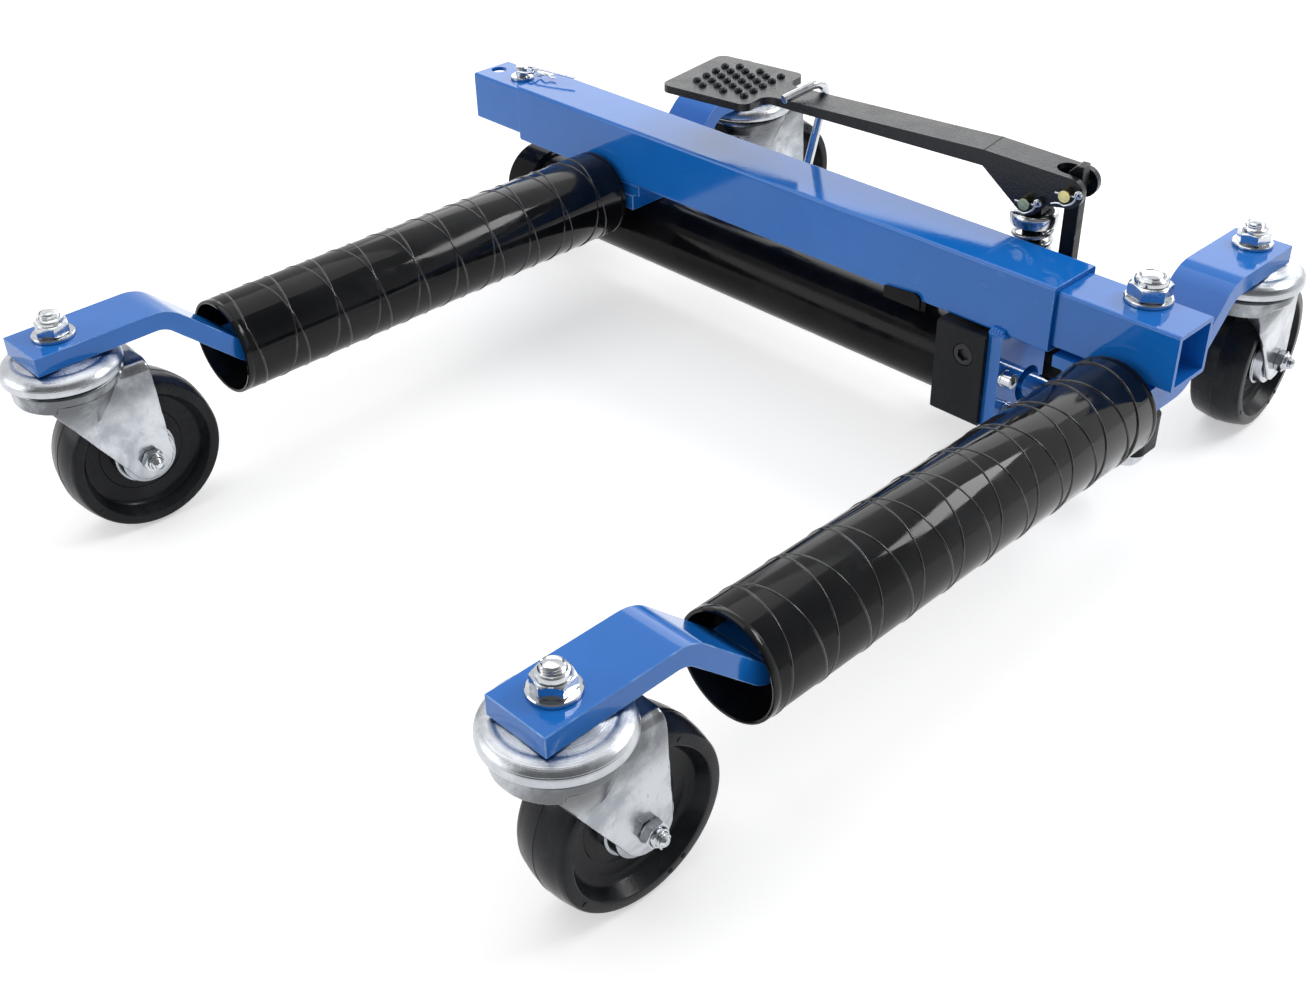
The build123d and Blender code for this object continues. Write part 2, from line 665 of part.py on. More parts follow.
def pedal():
    """Pedal lever, its two clevis pins with clips, and the link bar on its base pin."""
    add("pedal_lever", pump_frame(pedal_lever()))
    outside = cheek_inner + cheek_thick
    clip_v = -outside - pin_tail / 2
    pins, clips = [], []
    for u, z in pedal_pivots:
        pin = rod(pump_pin_r, (u, -outside - pin_tail, z), (u, outside, z))
        pin += rod(pin_head_r, (u, outside, z), (u, outside + pin_head_high, z))
        cross_hole = rod(pin_clip_r + 0.1, (u - pin_head_r, clip_v, z), (u + pin_head_r, clip_v, z))
        pins.append(pump_frame(pin - cross_hole))
        path = FilletPolyline((u - 8, clip_v, z), (u + 11, clip_v, z), (u + 11, clip_v, z - 6),
                              (u + 2, clip_v, z - 5.6), (u - 4, clip_v, z - 5.4), (u - 9, clip_v, z - 8),
                              radius=2)
        clips.append(pump_frame(sweep(Plane(path @ 0, z_dir=path % 0) * Circle(pin_clip_r), path=path)))
    add("pedal_pins", *pins)
    add("pin_clips", *clips)
    link_u = (fulcrum_u - link_half, fulcrum_u + link_half)
    link = span_box(link_u, (-link_half, link_half), (link_low, link_top))
    link = chamfer(link.edges().group_by(Axis.Z)[-1].sort_by(Axis.X)[0], link_half)
    for z in (link_base_z, fulcrum_z):
        link -= rod(pump_pin_r + run_gap / 2, (fulcrum_u, -9, z), (fulcrum_u, 9, z))
    add("link_bar", pump_frame(link))
    add("link_base_pin", pump_frame(link_base_pin()))


def hook():
    """Wire hook over the pedal arm, and the tab on the beam that it hangs from."""
    x, y, z = hook_pivot
    foot = (x - hook_foot, y, z)
    toe = (x + hook_toe, y, z)
    path = FilletPolyline(foot, toe, hook_crown, hook_end, radius=hook_bend_r)
    add("hook", sweep(Plane(path @ 0, z_dir=path % 0) * Circle(hook_wire_r), path=path))
    tab = span_box((x - hook_tab_thick / 2, x + hook_tab_thick / 2), (outer_side / 2, y + 7),
                   (z - hook_tab_half, z + hook_tab_half))
    tab = fillet(tab.edges().filter_by(Axis.X).sort_by(Axis.Y)[-2:], 6)
    add("hook_tab", tab - rod(hook_wire_r + run_gap, foot, toe))


def swivel_head():
    """Pressed upper race under a bar, about the stem's axis."""
    lip_in = head_r - head_steel
    race = bar_under - race_deep
    return turned([(stem_r, bar_under), (head_flat_r, bar_under), (head_flat_r + 3, bar_under - 2),
                   (head_shoulder_r, bar_under - 3.4), (head_r, bar_under - 7),
                   (head_r, bar_under - head_high), (lip_in, bar_under - head_high), (lip_in, race - 0.8),
                   (crown_r, race), (stem_r, race)])


def swivel_balls():
    """Ball ring between head and fork."""
    middle = (bar_under - race_deep + fork_top) / 2
    balls = []
    for step in range(balls_per_ring):
        turn = 2 * pi * step / balls_per_ring
        balls.append(Pos(ball_ring_r * cos(turn), ball_ring_r * sin(turn), middle) * Sphere(ball_r))
    return balls


def fork():
    """Pressed fork: cupped crown, rounded front and two tapered legs, wheel axis along X, trailing towards +Y."""
    half = fork_gap / 2 + fork_steel
    crown_low = fork_top - fork_steel
    shoulder_z = fork_top - fork_shoulder
    outer = span_box((-half, half), (fork_front, fork_back + 3), (wheel_axis_z - fork_tip_r, fork_top))
    outer = fillet(outer.edges().filter_by(Axis.Z).group_by(Axis.Y)[0], half - 0.5)
    outer = fillet(outer.edges().filter_by(Axis.Y).group_by(Axis.Z)[-1], 5 + fork_steel)
    hollow = span_box((-fork_gap / 2, fork_gap / 2), (fork_front + fork_steel, fork_back + 4), (0, crown_low))
    hollow = fillet(hollow.edges().filter_by(Axis.Z).group_by(Axis.Y)[0], half - fork_steel - 0.5)
    hollow = fillet(hollow.edges().filter_by(Axis.Y).group_by(Axis.Z)[-1], 5)
    side_view = make_hull([*(Pos(trail, wheel_axis_z) * Circle(fork_tip_r)).edges(),
                           Line((fork_back, shoulder_z), (fork_back - 1, fork_top)),
                           Line((fork_back - 1, fork_top), (fork_front, fork_top)),
                           Line((fork_front, fork_top), (fork_front, shoulder_z))])
    plane = Plane(origin=(-crown_r - 1, 0, 0), x_dir=(0, 1, 0), z_dir=(1, 0, 0))
    profile = extrude(plane * side_view, amount=2 * crown_r + 2)
    flare = turned([(0, flare_low), (half, flare_low), (crown_r, crown_low - 2), (crown_r, crown_low),
                    (0, crown_low)])
    cup = turned([(0, crown_low), (crown_r - fork_steel, crown_low), (crown_r - fork_steel, skirt_low),
                  (crown_r, skirt_low), (crown_r + 0.8, fork_top - 1.5), (crown_r - 0.6, fork_top),
                  (0, fork_top)])
    skirt_cut = span_box((-crown_r - 2, crown_r + 2), (fork_front + 4, crown_r + 2),
                         (skirt_low - 1, crown_low - 4))
    shell = (outer & profile) + (flare & profile) - hollow + (cup - skirt_cut)
    shell -= rod(stem_r + hole_gap, (0, 0, crown_low - 1), (0, 0, fork_top + 1))
    return shell - rod(axle_shoulder_r, (-half - 1, trail, wheel_axis_z), (half + 1, trail, wheel_axis_z))


def wheel_axle():
    """Shoulder bolt with its lock nut on the +X side."""
    half = fork_gap / 2 + fork_steel
    centre = (trail, wheel_axis_z)
    bolt = rod(axle_shoulder_r, (-half, *centre), (half, *centre))
    bolt += rod(axle_thread_r, (half, *centre), (half + axle_nut_high + axle_thread_out, *centre))
    bolt += hex_bar(axle_flats, (-half - axle_head_high, *centre), (-half, *centre))
    nut = Pos(half, *centre) * Rot(0, 90, 0) * lock_nut(axle_nut_flats, axle_nut_high, axle_thread_r)
    return [bolt, nut]


def wheel():
    """Wheel with a crowned tread, raised rims, dished webs and a hub, about X."""
    half = wheel_width / 2
    hub = fork_gap / 2 - 0.5
    near = [(-hub, axle_shoulder_r + run_gap), (-hub, hub_r), (-web_half, web_r[0]), (-web_half, web_r[1]),
            (-half, rim_r[0]), (-half, rim_r[1]), (-half + 3, tread_edge_r)]
    far = [(-x, r) for x, r in near[::-1]]
    tread = ThreePointArc(near[-1], (0, wheel_r), far[0])
    section = make_face([*Polyline(*near).edges(), tread, *Polyline(*far).edges(), Line(far[-1], near[0])])
    return Pos(0, trail, wheel_axis_z) * revolve(section, Axis.X)


def stem_fasteners():
    """Stem bolt with its head under the fork crown, washer and lock nut on the bar."""
    nut_low = bar_top + stem_washer_thick
    end = nut_low + stem_nut_high + stem_thread_out
    head_top = fork_top - fork_steel - 1
    bolt = rod(stem_r, (0, 0, head_top), (0, 0, end))
    bolt += hex_bar(stem_flats, (0, 0, head_top - stem_head_high), (0, 0, head_top))
    return [bolt, Pos(0, 0, bar_top) * washer(stem_washer_r, stem_r, stem_washer_thick),
            Pos(0, 0, nut_low) * lock_nut(stem_flats, stem_nut_high, stem_r)]


def caster_set():
    """Four casters, with shared nodes for the fasteners and balls of each arm."""
    fasteners = {"left": [], "right": []}
    balls = {"left": [], "right": []}
    for name, (side, y, turn) in casters.items():
        stand = Pos(bar_x[name], y, 0)
        turned_stand = stand * Rot(0, 0, turn)
        add(name + "_swivel_head", stand * swivel_head())
        add(name + "_fork", turned_stand * fork())
        add(name + "_axle", *[turned_stand * piece for piece in wheel_axle()])
        add(name + "_wheel", turned_stand * wheel())
        fasteners[side] += [stand * piece for piece in stem_fasteners()]
        balls[side] += [stand * ball for ball in swivel_balls()]
    for side in arm_x:
        add(side + "_stem_fasteners", *fasteners[side])
        add(side + "_swivel_balls", *balls[side])


beam()
arm("left")
arm("right")
arm_bolt()
lock_pin()
ram()
pump_body()
release_valve()
plunger_group()
pedal()
hook()
caster_set()

os.makedirs("parts", exist_ok=True)
for name, shape in nodes.items():
    export_step(shape, "parts/" + name + ".step")
print(len(nodes), "nodes, shifted by", beam_x, beam_y)
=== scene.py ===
"""Looks of the vehicle positioning dolly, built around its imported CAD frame.

Pieces are drawn in millimetres from the middle of the inner tube, as the dolly was designed, and
moved to the frame's origin in metres when they are finished.
"""
import json
from math import cos, pi, radians, sin, tau

import bmesh
import bpy
from mathutils import Matrix, Vector


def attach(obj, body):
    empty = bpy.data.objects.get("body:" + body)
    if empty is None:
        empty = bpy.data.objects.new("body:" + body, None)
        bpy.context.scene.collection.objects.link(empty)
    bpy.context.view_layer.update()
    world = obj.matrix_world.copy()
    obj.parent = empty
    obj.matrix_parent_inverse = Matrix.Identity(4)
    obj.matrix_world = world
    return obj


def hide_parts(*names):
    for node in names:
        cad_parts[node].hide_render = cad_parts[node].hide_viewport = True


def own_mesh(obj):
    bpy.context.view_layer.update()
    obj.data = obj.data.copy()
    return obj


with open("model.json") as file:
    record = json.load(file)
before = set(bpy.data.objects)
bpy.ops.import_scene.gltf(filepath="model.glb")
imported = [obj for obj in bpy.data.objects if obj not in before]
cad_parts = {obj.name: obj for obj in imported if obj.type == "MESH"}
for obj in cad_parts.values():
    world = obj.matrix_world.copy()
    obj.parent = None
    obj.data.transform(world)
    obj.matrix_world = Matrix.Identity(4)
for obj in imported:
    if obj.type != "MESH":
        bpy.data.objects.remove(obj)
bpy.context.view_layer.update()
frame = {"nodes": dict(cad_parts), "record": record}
cad = frame["nodes"]
body_of = {}
for body, members in frame["record"]["behaviour"]["bodies"].items():
    for member in members:
        body_of[member] = body

# Where the drawing's origin lies in the frame
mm = 0.001
origin = Vector((-1.5, 149.25, 8.0))

# Arms and rollers
arm_x = {"left": -170.0, "right": 291.0}
bar_x = {"front_left": -166.0, "rear_left": -155.0, "front_right": 291.0, "rear_right": 291.0}
bar_top = 137.0
bar_under = 125.0
front_stem = -474.0
rear_stem = 127.0
roller_z = 83.0
roller_r = 32.5
roller_bore_r = 30.0
roller_front = -366.0
roller_back = -26.0
ridge_pitch = 34.0
ridge_start = {"left": radians(-40.0), "right": radians(45.0)}

# Casters: arm, place of the stem and rest turn in degrees of each
casters = {
    "front_left": ("left", front_stem, -4.0),
    "rear_left": ("left", rear_stem, -3.0),
    "front_right": ("right", front_stem, -3.0),
    "rear_right": ("right", rear_stem, 5.0),
}
wheel_r = 52.0
wheel_axis_z = 44.0
wheel_half = 17.5
tread_half = 13.8
trail = 33.5
fork_half = 22.0
axle_r = 6.0
stem_r = 6.0
stem_low = 107.6
stem_flats = 19.0
stem_washer_thick = 2.5
head_r = 37.0

# Beam, right arm bolt and the eye of the piston rod round it
inner_top = 139.5
beam_bottom = 98.0
arm_bolt = (286.0, 10.0)
arm_bolt_low = 36.5
arm_bolt_r = 8.0
arm_bolt_flats = 24.0
arm_washer_r = 15.0
arm_washer_thick = 3.0
rod_eye_reach = 19.0

# Lock pin at the left end of the beam, and the turn in degrees of its clip
lock_x = -286.0
lock_pin_low = 95.5
lock_pin_r = 6.0
lock_flange_r = 9.5
clip_turn = 14.0

# Foot pump: its place, its two pins along its own Y, its pedal, studs and return spring
pump_place = Matrix.Translation((174.7, 51.0, 0.0)) @ Matrix.Rotation(radians(8.0), 4, "Z")
pump_pins = ((0.0, 161.0), (26.7, 173.2))
pin_clip_y = -16.5
pedal_top = 188.3
lever_bend = -34.5
lever_half = 13.3
stud_first = -263.2
stud_row_gap = 9.1
stud_pitch = 11.6
stud_counts = (4, 5, 4, 5, 4, 5)

# Camera: the direction to it from the dolly, its place in the frame, its roll and lens
camera_azimuth, camera_elevation = radians(46.5), radians(34.55)
camera_back = Vector((sin(camera_azimuth) * cos(camera_elevation),
                      -cos(camera_azimuth) * cos(camera_elevation),
                      sin(camera_elevation)))
camera_spot = (0.69733, -0.6493, 0.60593)
camera_roll = radians(-1.46)
camera_lens = 43.86
camera_sensor = 36.0

# Soft lamps: place, size and power of each, all aimed at one point above the floor
lamps = {
    "back_softbox": ((0.95, 1.35, 1.55), (1.0, 0.5), 16.0),
    "backdrop_softbox": ((-1.1, 2.1, 1.15), (3.4, 1.2), 16.0),
    "overhead": ((-0.5, -0.1, 2.2), (2.0, 2.0), 14.0),
    "front_fill": ((-1.3, -2.0, 1.0), (1.6, 1.2), 14.0),
}
lamp_aim = Vector((0.0, 0.0, 0.1))


def put(tree, kind, sockets=None, **settings):
    """Shader node with its settings and socket values."""
    made = tree.nodes.new(kind)
    for name, value in settings.items():
        setattr(made, name, value)
    for name, value in (sockets or {}).items():
        made.inputs[name].default_value = value
    return made


def effect(name, inputs, outputs):
    """Empty node group with named float inputs and outputs of the given kinds."""
    tree = bpy.data.node_groups.new(name, "ShaderNodeTree")
    for label, value in inputs.items():
        socket = tree.interface.new_socket(label, in_out="INPUT", socket_type="NodeSocketFloat")
        socket.default_value = value
    for label, kind in outputs.items():
        tree.interface.new_socket(label, in_out="OUTPUT", socket_type=kind)
    return tree, tree.nodes.new("NodeGroupInput"), tree.nodes.new("NodeGroupOutput")


def make_grain():
    """Fine surface grain as a bumped normal, stretched along an axis if asked."""
    tree, given, out = effect("grain", {"Scale": 600.0, "Stretch X": 1.0, "Stretch Y": 1.0, "Stretch Z": 1.0,
                                        "Depth": 0.1}, {"Normal": "NodeSocketVector"})
    place = put(tree, "ShaderNodeTexCoord")
    stretch = put(tree, "ShaderNodeCombineXYZ")
    for axis in "XYZ":
        tree.links.new(given.outputs["Stretch " + axis], stretch.inputs[axis])
    spread = put(tree, "ShaderNodeVectorMath", operation="MULTIPLY")
    tree.links.new(place.outputs["Object"], spread.inputs[0])
    tree.links.new(stretch.outputs["Vector"], spread.inputs[1])
    noise = put(tree, "ShaderNodeTexNoise", {"Detail": 3.0, "Roughness": 0.55})
    tree.links.new(spread.outputs["Vector"], noise.inputs["Vector"])
    tree.links.new(given.outputs["Scale"], noise.inputs["Scale"])
    bump = put(tree, "ShaderNodeBump", {"Distance": 0.001})
    tree.links.new(given.outputs["Depth"], bump.inputs["Strength"])
    tree.links.new(noise.outputs["Fac"], bump.inputs["Height"])
    tree.links.new(bump.outputs["Normal"], out.inputs["Normal"])
    return tree


def make_patches():
    """Soft patches from 0 to 1: low and high set how much of the surface they take."""
    tree, given, out = effect("patches", {"Scale": 20.0, "Low": 0.4, "High": 0.6},
                              {"Mask": "NodeSocketFloat"})
    place = put(tree, "ShaderNodeTexCoord")
    noise = put(tree, "ShaderNodeTexNoise", {"Detail": 5.0, "Roughness": 0.6, "Distortion": 0.4})
    tree.links.new(place.outputs["Object"], noise.inputs["Vector"])
    tree.links.new(given.outputs["Scale"], noise.inputs["Scale"])
    spread = put(tree, "ShaderNodeMapRange", interpolation_type="SMOOTHSTEP")
    tree.links.new(noise.outputs["Fac"], spread.inputs["Value"])
    tree.links.new(given.outputs["Low"], spread.inputs["From Min"])
    tree.links.new(given.outputs["High"], spread.inputs["From Max"])
    tree.links.new(spread.outputs["Result"], out.inputs["Mask"])
    return tree


def make_scuffs():
    """Thin slanting rub marks, gathered in a few places."""
    tree, given, out = effect("scuffs", {"Scale": 90.0, "Amount": 0.5}, {"Mask": "NodeSocketFloat"})
    place = put(tree, "ShaderNodeTexCoord")
    turn = put(tree, "ShaderNodeMapping", {"Rotation": (0.5, 0.3, 0.7), "Scale": (1.0, 9.0, 3.0)})
    tree.links.new(place.outputs["Object"], turn.inputs["Vector"])
    lines = put(tree, "ShaderNodeTexNoise", {"Detail": 2.0, "Roughness": 0.5})
    tree.links.new(turn.outputs["Vector"], lines.inputs["Vector"])
    tree.links.new(given.outputs["Scale"], lines.inputs["Scale"])
    thin = put(tree, "ShaderNodeMapRange", {"From Min": 0.66, "From Max": 0.72})
    tree.links.new(lines.outputs["Fac"], thin.inputs["Value"])
    spots = put(tree, "ShaderNodeTexNoise", {"Scale": 17.0, "Detail": 2.0})
    tree.links.new(place.outputs["Object"], spots.inputs["Vector"])
    near = put(tree, "ShaderNodeMapRange", {"From Min": 0.56, "From Max": 0.66})
    tree.links.new(spots.outputs["Fac"], near.inputs["Value"])
    both = put(tree, "ShaderNodeMath", operation="MULTIPLY")
    tree.links.new(thin.outputs["Result"], both.inputs[0])
    tree.links.new(near.outputs["Result"], both.inputs[1])
    scaled = put(tree, "ShaderNodeMath", operation="MULTIPLY")
    tree.links.new(both.outputs["Value"], scaled.inputs[0])
    tree.links.new(given.outputs["Amount"], scaled.inputs[1])
    tree.links.new(scaled.outputs["Value"], out.inputs["Mask"])
    return tree


grain, patches, scuffs = make_grain(), make_patches(), make_scuffs()


def use(tree, group, **values):
    """Place an effect in a material with its own values."""
    made = tree.nodes.new("ShaderNodeGroup")
    made.node_tree = group
    for name, value in values.items():
        made.inputs[name.replace("_", " ")].default_value = value
    return made


def mix_colour(tree, mask, first, second):
    """Colour that goes from the first to the second with a mask; each is a colour or an output."""
    mix = put(tree, "ShaderNodeMix", data_type="RGBA")
    tree.links.new(mask, mix.inputs["Factor"])
    for label, colour in (("A", first), ("B", second)):
        socket = next(s for s in mix.inputs if s.name == label and s.type == "RGBA")
        if isinstance(colour, tuple):
            socket.default_value = (*colour, 1.0)
        else:
            tree.links.new(colour, socket)
    return next(s for s in mix.outputs if s.type == "RGBA")


def between(tree, mask, low, high):
    """Value that goes from low to high with a mask."""
    spread = put(tree, "ShaderNodeMapRange", {"To Min": low, "To Max": high})
    tree.links.new(mask, spread.inputs["Value"])
    return spread.outputs["Result"]


# How much rougher a rub mark is than the surface round it
rub_dulling = 0.25


def finish(name, base, other, roughness, grain_of, patch_scale, patch=(0.4, 0.65), metallic=0.0,
           scuff=None, specular=0.5):
    """Material with a patchy colour, uneven gloss, grain in its normal and, if given, rub marks.

    Patches go from the base colour and the first roughness to the other colour and the second one.
    grain_of holds the grain's scale, depth and stretch on the three axes, and scuff the colour,
    amount and scale of the rub marks.
    """
    material = bpy.data.materials.new(name)
    material.use_nodes = True
    tree = material.node_tree
    surface = tree.nodes["Principled BSDF"]
    mask = use(tree, patches, Scale=patch_scale, Low=patch[0], High=patch[1]).outputs["Mask"]
    colour = mix_colour(tree, mask, base, other)
    rough = between(tree, mask, *roughness)
    if scuff:
        shade, amount, scale = scuff
        rubbed = use(tree, scuffs, Scale=scale, Amount=amount).outputs["Mask"]
        colour = mix_colour(tree, rubbed, colour, shade)
        duller = put(tree, "ShaderNodeMath", {1: rub_dulling}, operation="MULTIPLY_ADD")
        tree.links.new(rubbed, duller.inputs[0])
        tree.links.new(rough, duller.inputs[2])
        rough = duller.outputs["Value"]
    scale, depth, stretch = grain_of
    fine = use(tree, grain, Scale=scale, Depth=depth, Stretch_X=stretch[0], Stretch_Y=stretch[1],
               Stretch_Z=stretch[2])
    tree.links.new(colour, surface.inputs["Base Color"])
    tree.links.new(rough, surface.inputs["Roughness"])
    tree.links.new(fine.outputs["Normal"], surface.inputs["Normal"])
    surface.inputs["Metallic"].default_value = metallic
    surface.inputs["Specular IOR Level"].default_value = specular
    return material


def add_turning_lines(material):
    """Fine ring lines on a turned piece, from its stored distance to the axis."""
    tree = material.node_tree
    surface = tree.nodes["Principled BSDF"]
    reach = put(tree, "ShaderNodeAttribute", attribute_name="turning")
    lines = put(tree, "ShaderNodeTexNoise", {"Scale": 2.2, "Detail": 3.0, "Roughness": 0.7},
                noise_dimensions="1D")
    tree.links.new(reach.outputs["Fac"], lines.inputs["W"])
    bump = put(tree, "ShaderNodeBump", {"Strength": 0.25, "Distance": 0.0006})
    tree.links.new(lines.outputs["Fac"], bump.inputs["Height"])
    tree.links.new(surface.inputs["Normal"].links[0].from_socket, bump.inputs["Normal"])
    tree.links.new(bump.outputs["Normal"], surface.inputs["Normal"])


def add_painted_shade_under_head(material):
    """Painted shade: base colour darker, in patches, towards the top of a fork, under its swivel head."""
    tree = material.node_tree
    surface = tree.nodes["Principled BSDF"]
    place = put(tree, "ShaderNodeTexCoord")
    split = put(tree, "ShaderNodeSeparateXYZ")
    tree.links.new(place.outputs["Object"], split.inputs["Vector"])
    rise = put(tree, "ShaderNodeMapRange", {"From Min": 0.08, "From Max": 0.108, "To Max": 0.95},
               interpolation_type="SMOOTHSTEP")
    tree.links.new(split.outputs["Z"], rise.inputs["Value"])
    spots = use(tree, patches, Scale=26.0, Low=0.2, High=0.6).outputs["Mask"]
    shade = put(tree, "ShaderNodeMath", operation="MULTIPLY")
    tree.links.new(rise.outputs["Result"], shade.inputs[0])
    tree.links.new(spots, shade.inputs[1])
    plain_colour = surface.inputs["Base Color"].links[0].from_socket
    # Painted shade colour, mixed in more towards the top
    shaded = mix_colour(tree, shade.outputs["Value"], plain_colour, (0.12, 0.126, 0.134))
    tree.links.new(shaded, surface.inputs["Base Color"])


even = (1.0, 1.0, 1.0)
blue_paint = finish("blue_enamel", (0.008, 0.155, 0.57), (0.012, 0.17, 0.61), (0.06, 0.12),
                    (260.0, 0.03, even), patch_scale=9.0, scuff=((0.06, 0.22, 0.62), 0.35, 90.0))
# Rounded paint edges: lighter in patches, partly worn paint and partly a painted highlight along the edges
blue_edge_wear_and_highlight = finish("blue_enamel_edge_wear_and_highlight", (0.04, 0.21, 0.63), (0.24, 0.44, 0.8), (0.15, 0.25),
                   (260.0, 0.03, even), patch_scale=60.0, patch=(0.42, 0.7))
roller_black = finish("roller_black", (0.005, 0.0055, 0.0065), (0.009, 0.0096, 0.011), (0.06, 0.16),
                      (26.0, 0.14, (4.0, 0.5, 4.0)), patch_scale=30.0, specular=0.22)
# Seam colour: lighter grey in patches, a painted highlight along the seams' ridges
roller_seam_painted_sheen = finish("roller_seam_painted_sheen", (0.006, 0.006, 0.007), (0.05, 0.052, 0.056), (0.1, 0.2),
                     (300.0, 0.1, even), patch_scale=50.0, patch=(0.45, 0.65), specular=0.6)
gloss_black = finish("gloss_black_paint", (0.005, 0.005, 0.006), (0.009, 0.009, 0.01), (0.14, 0.24),
                     (300.0, 0.05, even), patch_scale=25.0, scuff=((0.05, 0.05, 0.055), 0.4, 110.0),
                     specular=0.1)
cast_black = finish("cast_black", (0.005, 0.006, 0.007), (0.01, 0.0115, 0.013), (0.3, 0.44),
                    (700.0, 0.3, even), patch_scale=40.0, specular=0.16)
cast_edge = finish("cast_black_edge", (0.015, 0.015, 0.016), (0.3, 0.3, 0.31), (0.28, 0.4),
                   (700.0, 0.2, even), patch_scale=110.0, patch=(0.54, 0.68))
pedal_black = finish("pedal_black", (0.005, 0.007, 0.011), (0.01, 0.013, 0.018), (0.2, 0.3),
                     (650.0, 0.3, even), patch_scale=45.0, scuff=((0.08, 0.085, 0.095), 0.4, 140.0),
                     specular=0.36)
pedal_edge = finish("pedal_black_edge", (0.012, 0.012, 0.014), (0.045, 0.045, 0.05), (0.24, 0.34),
                    (650.0, 0.2, even), patch_scale=80.0)
wheel_plastic = finish("moulded_black", (0.011, 0.012, 0.0145), (0.021, 0.0225, 0.026), (0.2, 0.32),
                       (700.0, 0.07, even), patch_scale=35.0, scuff=((0.05, 0.052, 0.057), 0.35, 120.0),
                       specular=0.15)
zinc = finish("bright_zinc", (0.52, 0.545, 0.58), (0.66, 0.68, 0.7), (0.1, 0.2),
              (240.0, 0.05, even), patch_scale=60.0, metallic=1.0, scuff=((0.4, 0.42, 0.45), 0.4, 160.0))
pressed_zinc = finish("pressed_zinc", (0.34, 0.365, 0.4), (0.6, 0.625, 0.66), (0.12, 0.26),
                      (60.0, 0.16, (1.0, 1.0, 0.35)), patch_scale=34.0, patch=(0.38, 0.62), metallic=1.0,
                      scuff=((0.2, 0.215, 0.245), 0.6, 70.0))
# Painted shade under the swivel heads, on the upper parts of the forks
add_painted_shade_under_head(pressed_zinc)
turned_zinc = finish("turned_zinc", (0.46, 0.485, 0.52), (0.6, 0.62, 0.65), (0.2, 0.3),
                     (240.0, 0.05, even), patch_scale=45.0, metallic=1.0,
                     scuff=((0.36, 0.38, 0.41), 0.4, 120.0))
add_turning_lines(turned_zinc)
chrome = finish("hard_chrome", (0.72, 0.74, 0.77), (0.78, 0.8, 0.82), (0.04, 0.08),
                (500.0, 0.02, (0.1, 1.0, 1.0)), patch_scale=30.0, metallic=1.0)
yellow_zinc = finish("yellow_zinc", (0.6, 0.52, 0.24), (0.42, 0.5, 0.3), (0.18, 0.3),
                     (400.0, 0.05, even), patch_scale=120.0, metallic=1.0)
spring_steel = finish("spring_steel", (0.3, 0.31, 0.33), (0.48, 0.5, 0.52), (0.2, 0.32),
                      (500.0, 0.06, even), patch_scale=80.0, metallic=1.0)
dark_steel = finish("blackened_steel", (0.012, 0.012, 0.014), (0.03, 0.03, 0.033), (0.28, 0.4),
                    (600.0, 0.06, even), patch_scale=70.0, metallic=0.6)
bush_plastic = finish("pale_plastic", (0.62, 0.62, 0.58), (0.68, 0.68, 0.65), (0.4, 0.5),
                      (500.0, 0.05, even), patch_scale=50.0)


def lathe(points, steps=96):
    """Turned shape about Z through (radius, height) points."""
    bm = bmesh.new()
    chain = [bm.verts.new((r, 0, z)) for r, z in points]
    edges = [bm.edges.new(pair) for pair in zip(chain, chain[1:])]
    bmesh.ops.spin(bm, geom=chain + edges, cent=(0, 0, 0), axis=(0, 0, 1), dvec=(0, 0, 0), angle=tau,
                   steps=steps, use_merge=True, use_duplicate=False)
    bmesh.ops.remove_doubles(bm, verts=bm.verts, dist=1e-4)
    bmesh.ops.recalc_face_normals(bm, faces=bm.faces)
    return bm


def helix(points, pitch, turns, start=0.0, steps=48):
    """Ridge whose (radius, height) section climbs along Z as it goes round.

    A negative pitch winds it left-handed.
    """
    bm = bmesh.new()
    chain = [bm.verts.new((r * cos(start), r * sin(start), z)) for r, z in points]
    edges = [bm.edges.new(pair) for pair in zip(chain, chain[1:])]
    count = round(steps * turns)
    way = 1 if pitch > 0 else -1
    bmesh.ops.spin(bm, geom=chain + edges, cent=(0, 0, 0), axis=(0, 0, 1), dvec=(0, 0, abs(pitch) / steps),
                   angle=way * tau * turns, steps=count, use_merge=False, use_duplicate=False)
    bmesh.ops.recalc_face_normals(bm, faces=bm.faces)
    outward = sum(face.normal.xy.dot(face.calc_center_median().xy) for face in bm.faces)
    if outward < 0:
        bmesh.ops.reverse_faces(bm, faces=bm.faces)
    return bm


def wire(points, radius):
    """Round wire bent softly along the points."""
    line = bpy.data.curves.new("wire", "CURVE")
    line.dimensions = "3D"
    line.bevel_depth = radius
    line.bevel_resolution = 3
    line.use_fill_caps = True
    bend = line.splines.new("NURBS")
    bend.points.add(len(points) - 1)
    for knot, spot in zip(bend.points, points):
        knot.co = (*spot, 1.0)
    bend.order_u = 3
    bend.use_endpoint_u = True
    bend.resolution_u = 5
    carrier = bpy.data.objects.new("wire", line)
    bm = bmesh.new()
    bm.from_mesh(carrier.to_mesh())
    carrier.to_mesh_clear()
    bpy.data.objects.remove(carrier)
    bpy.data.curves.remove(line)
    bmesh.ops.remove_doubles(bm, verts=bm.verts, dist=1e-4)
    bmesh.ops.recalc_face_normals(bm, faces=bm.faces)
    return bm


def moved(bm, place):
    """Move a shape by a matrix."""
    bmesh.ops.transform(bm, matrix=place, verts=bm.verts)
    return bm


def at(x, y, z):
    """Matrix of a plain move."""
    return Matrix.Translation((x, y, z))


def along_x():
    """Turn that lays a shape's Z axis along +X."""
    return Matrix.Rotation(pi / 2, 4, "Y")


def along_y():
    """Turn that lays a shape's Z axis along +Y."""
    return Matrix.Rotation(-pi / 2, 4, "X")


def upside_down():
    """Turn that points a shape's Z axis down."""
    return Matrix.Rotation(pi, 4, "X")


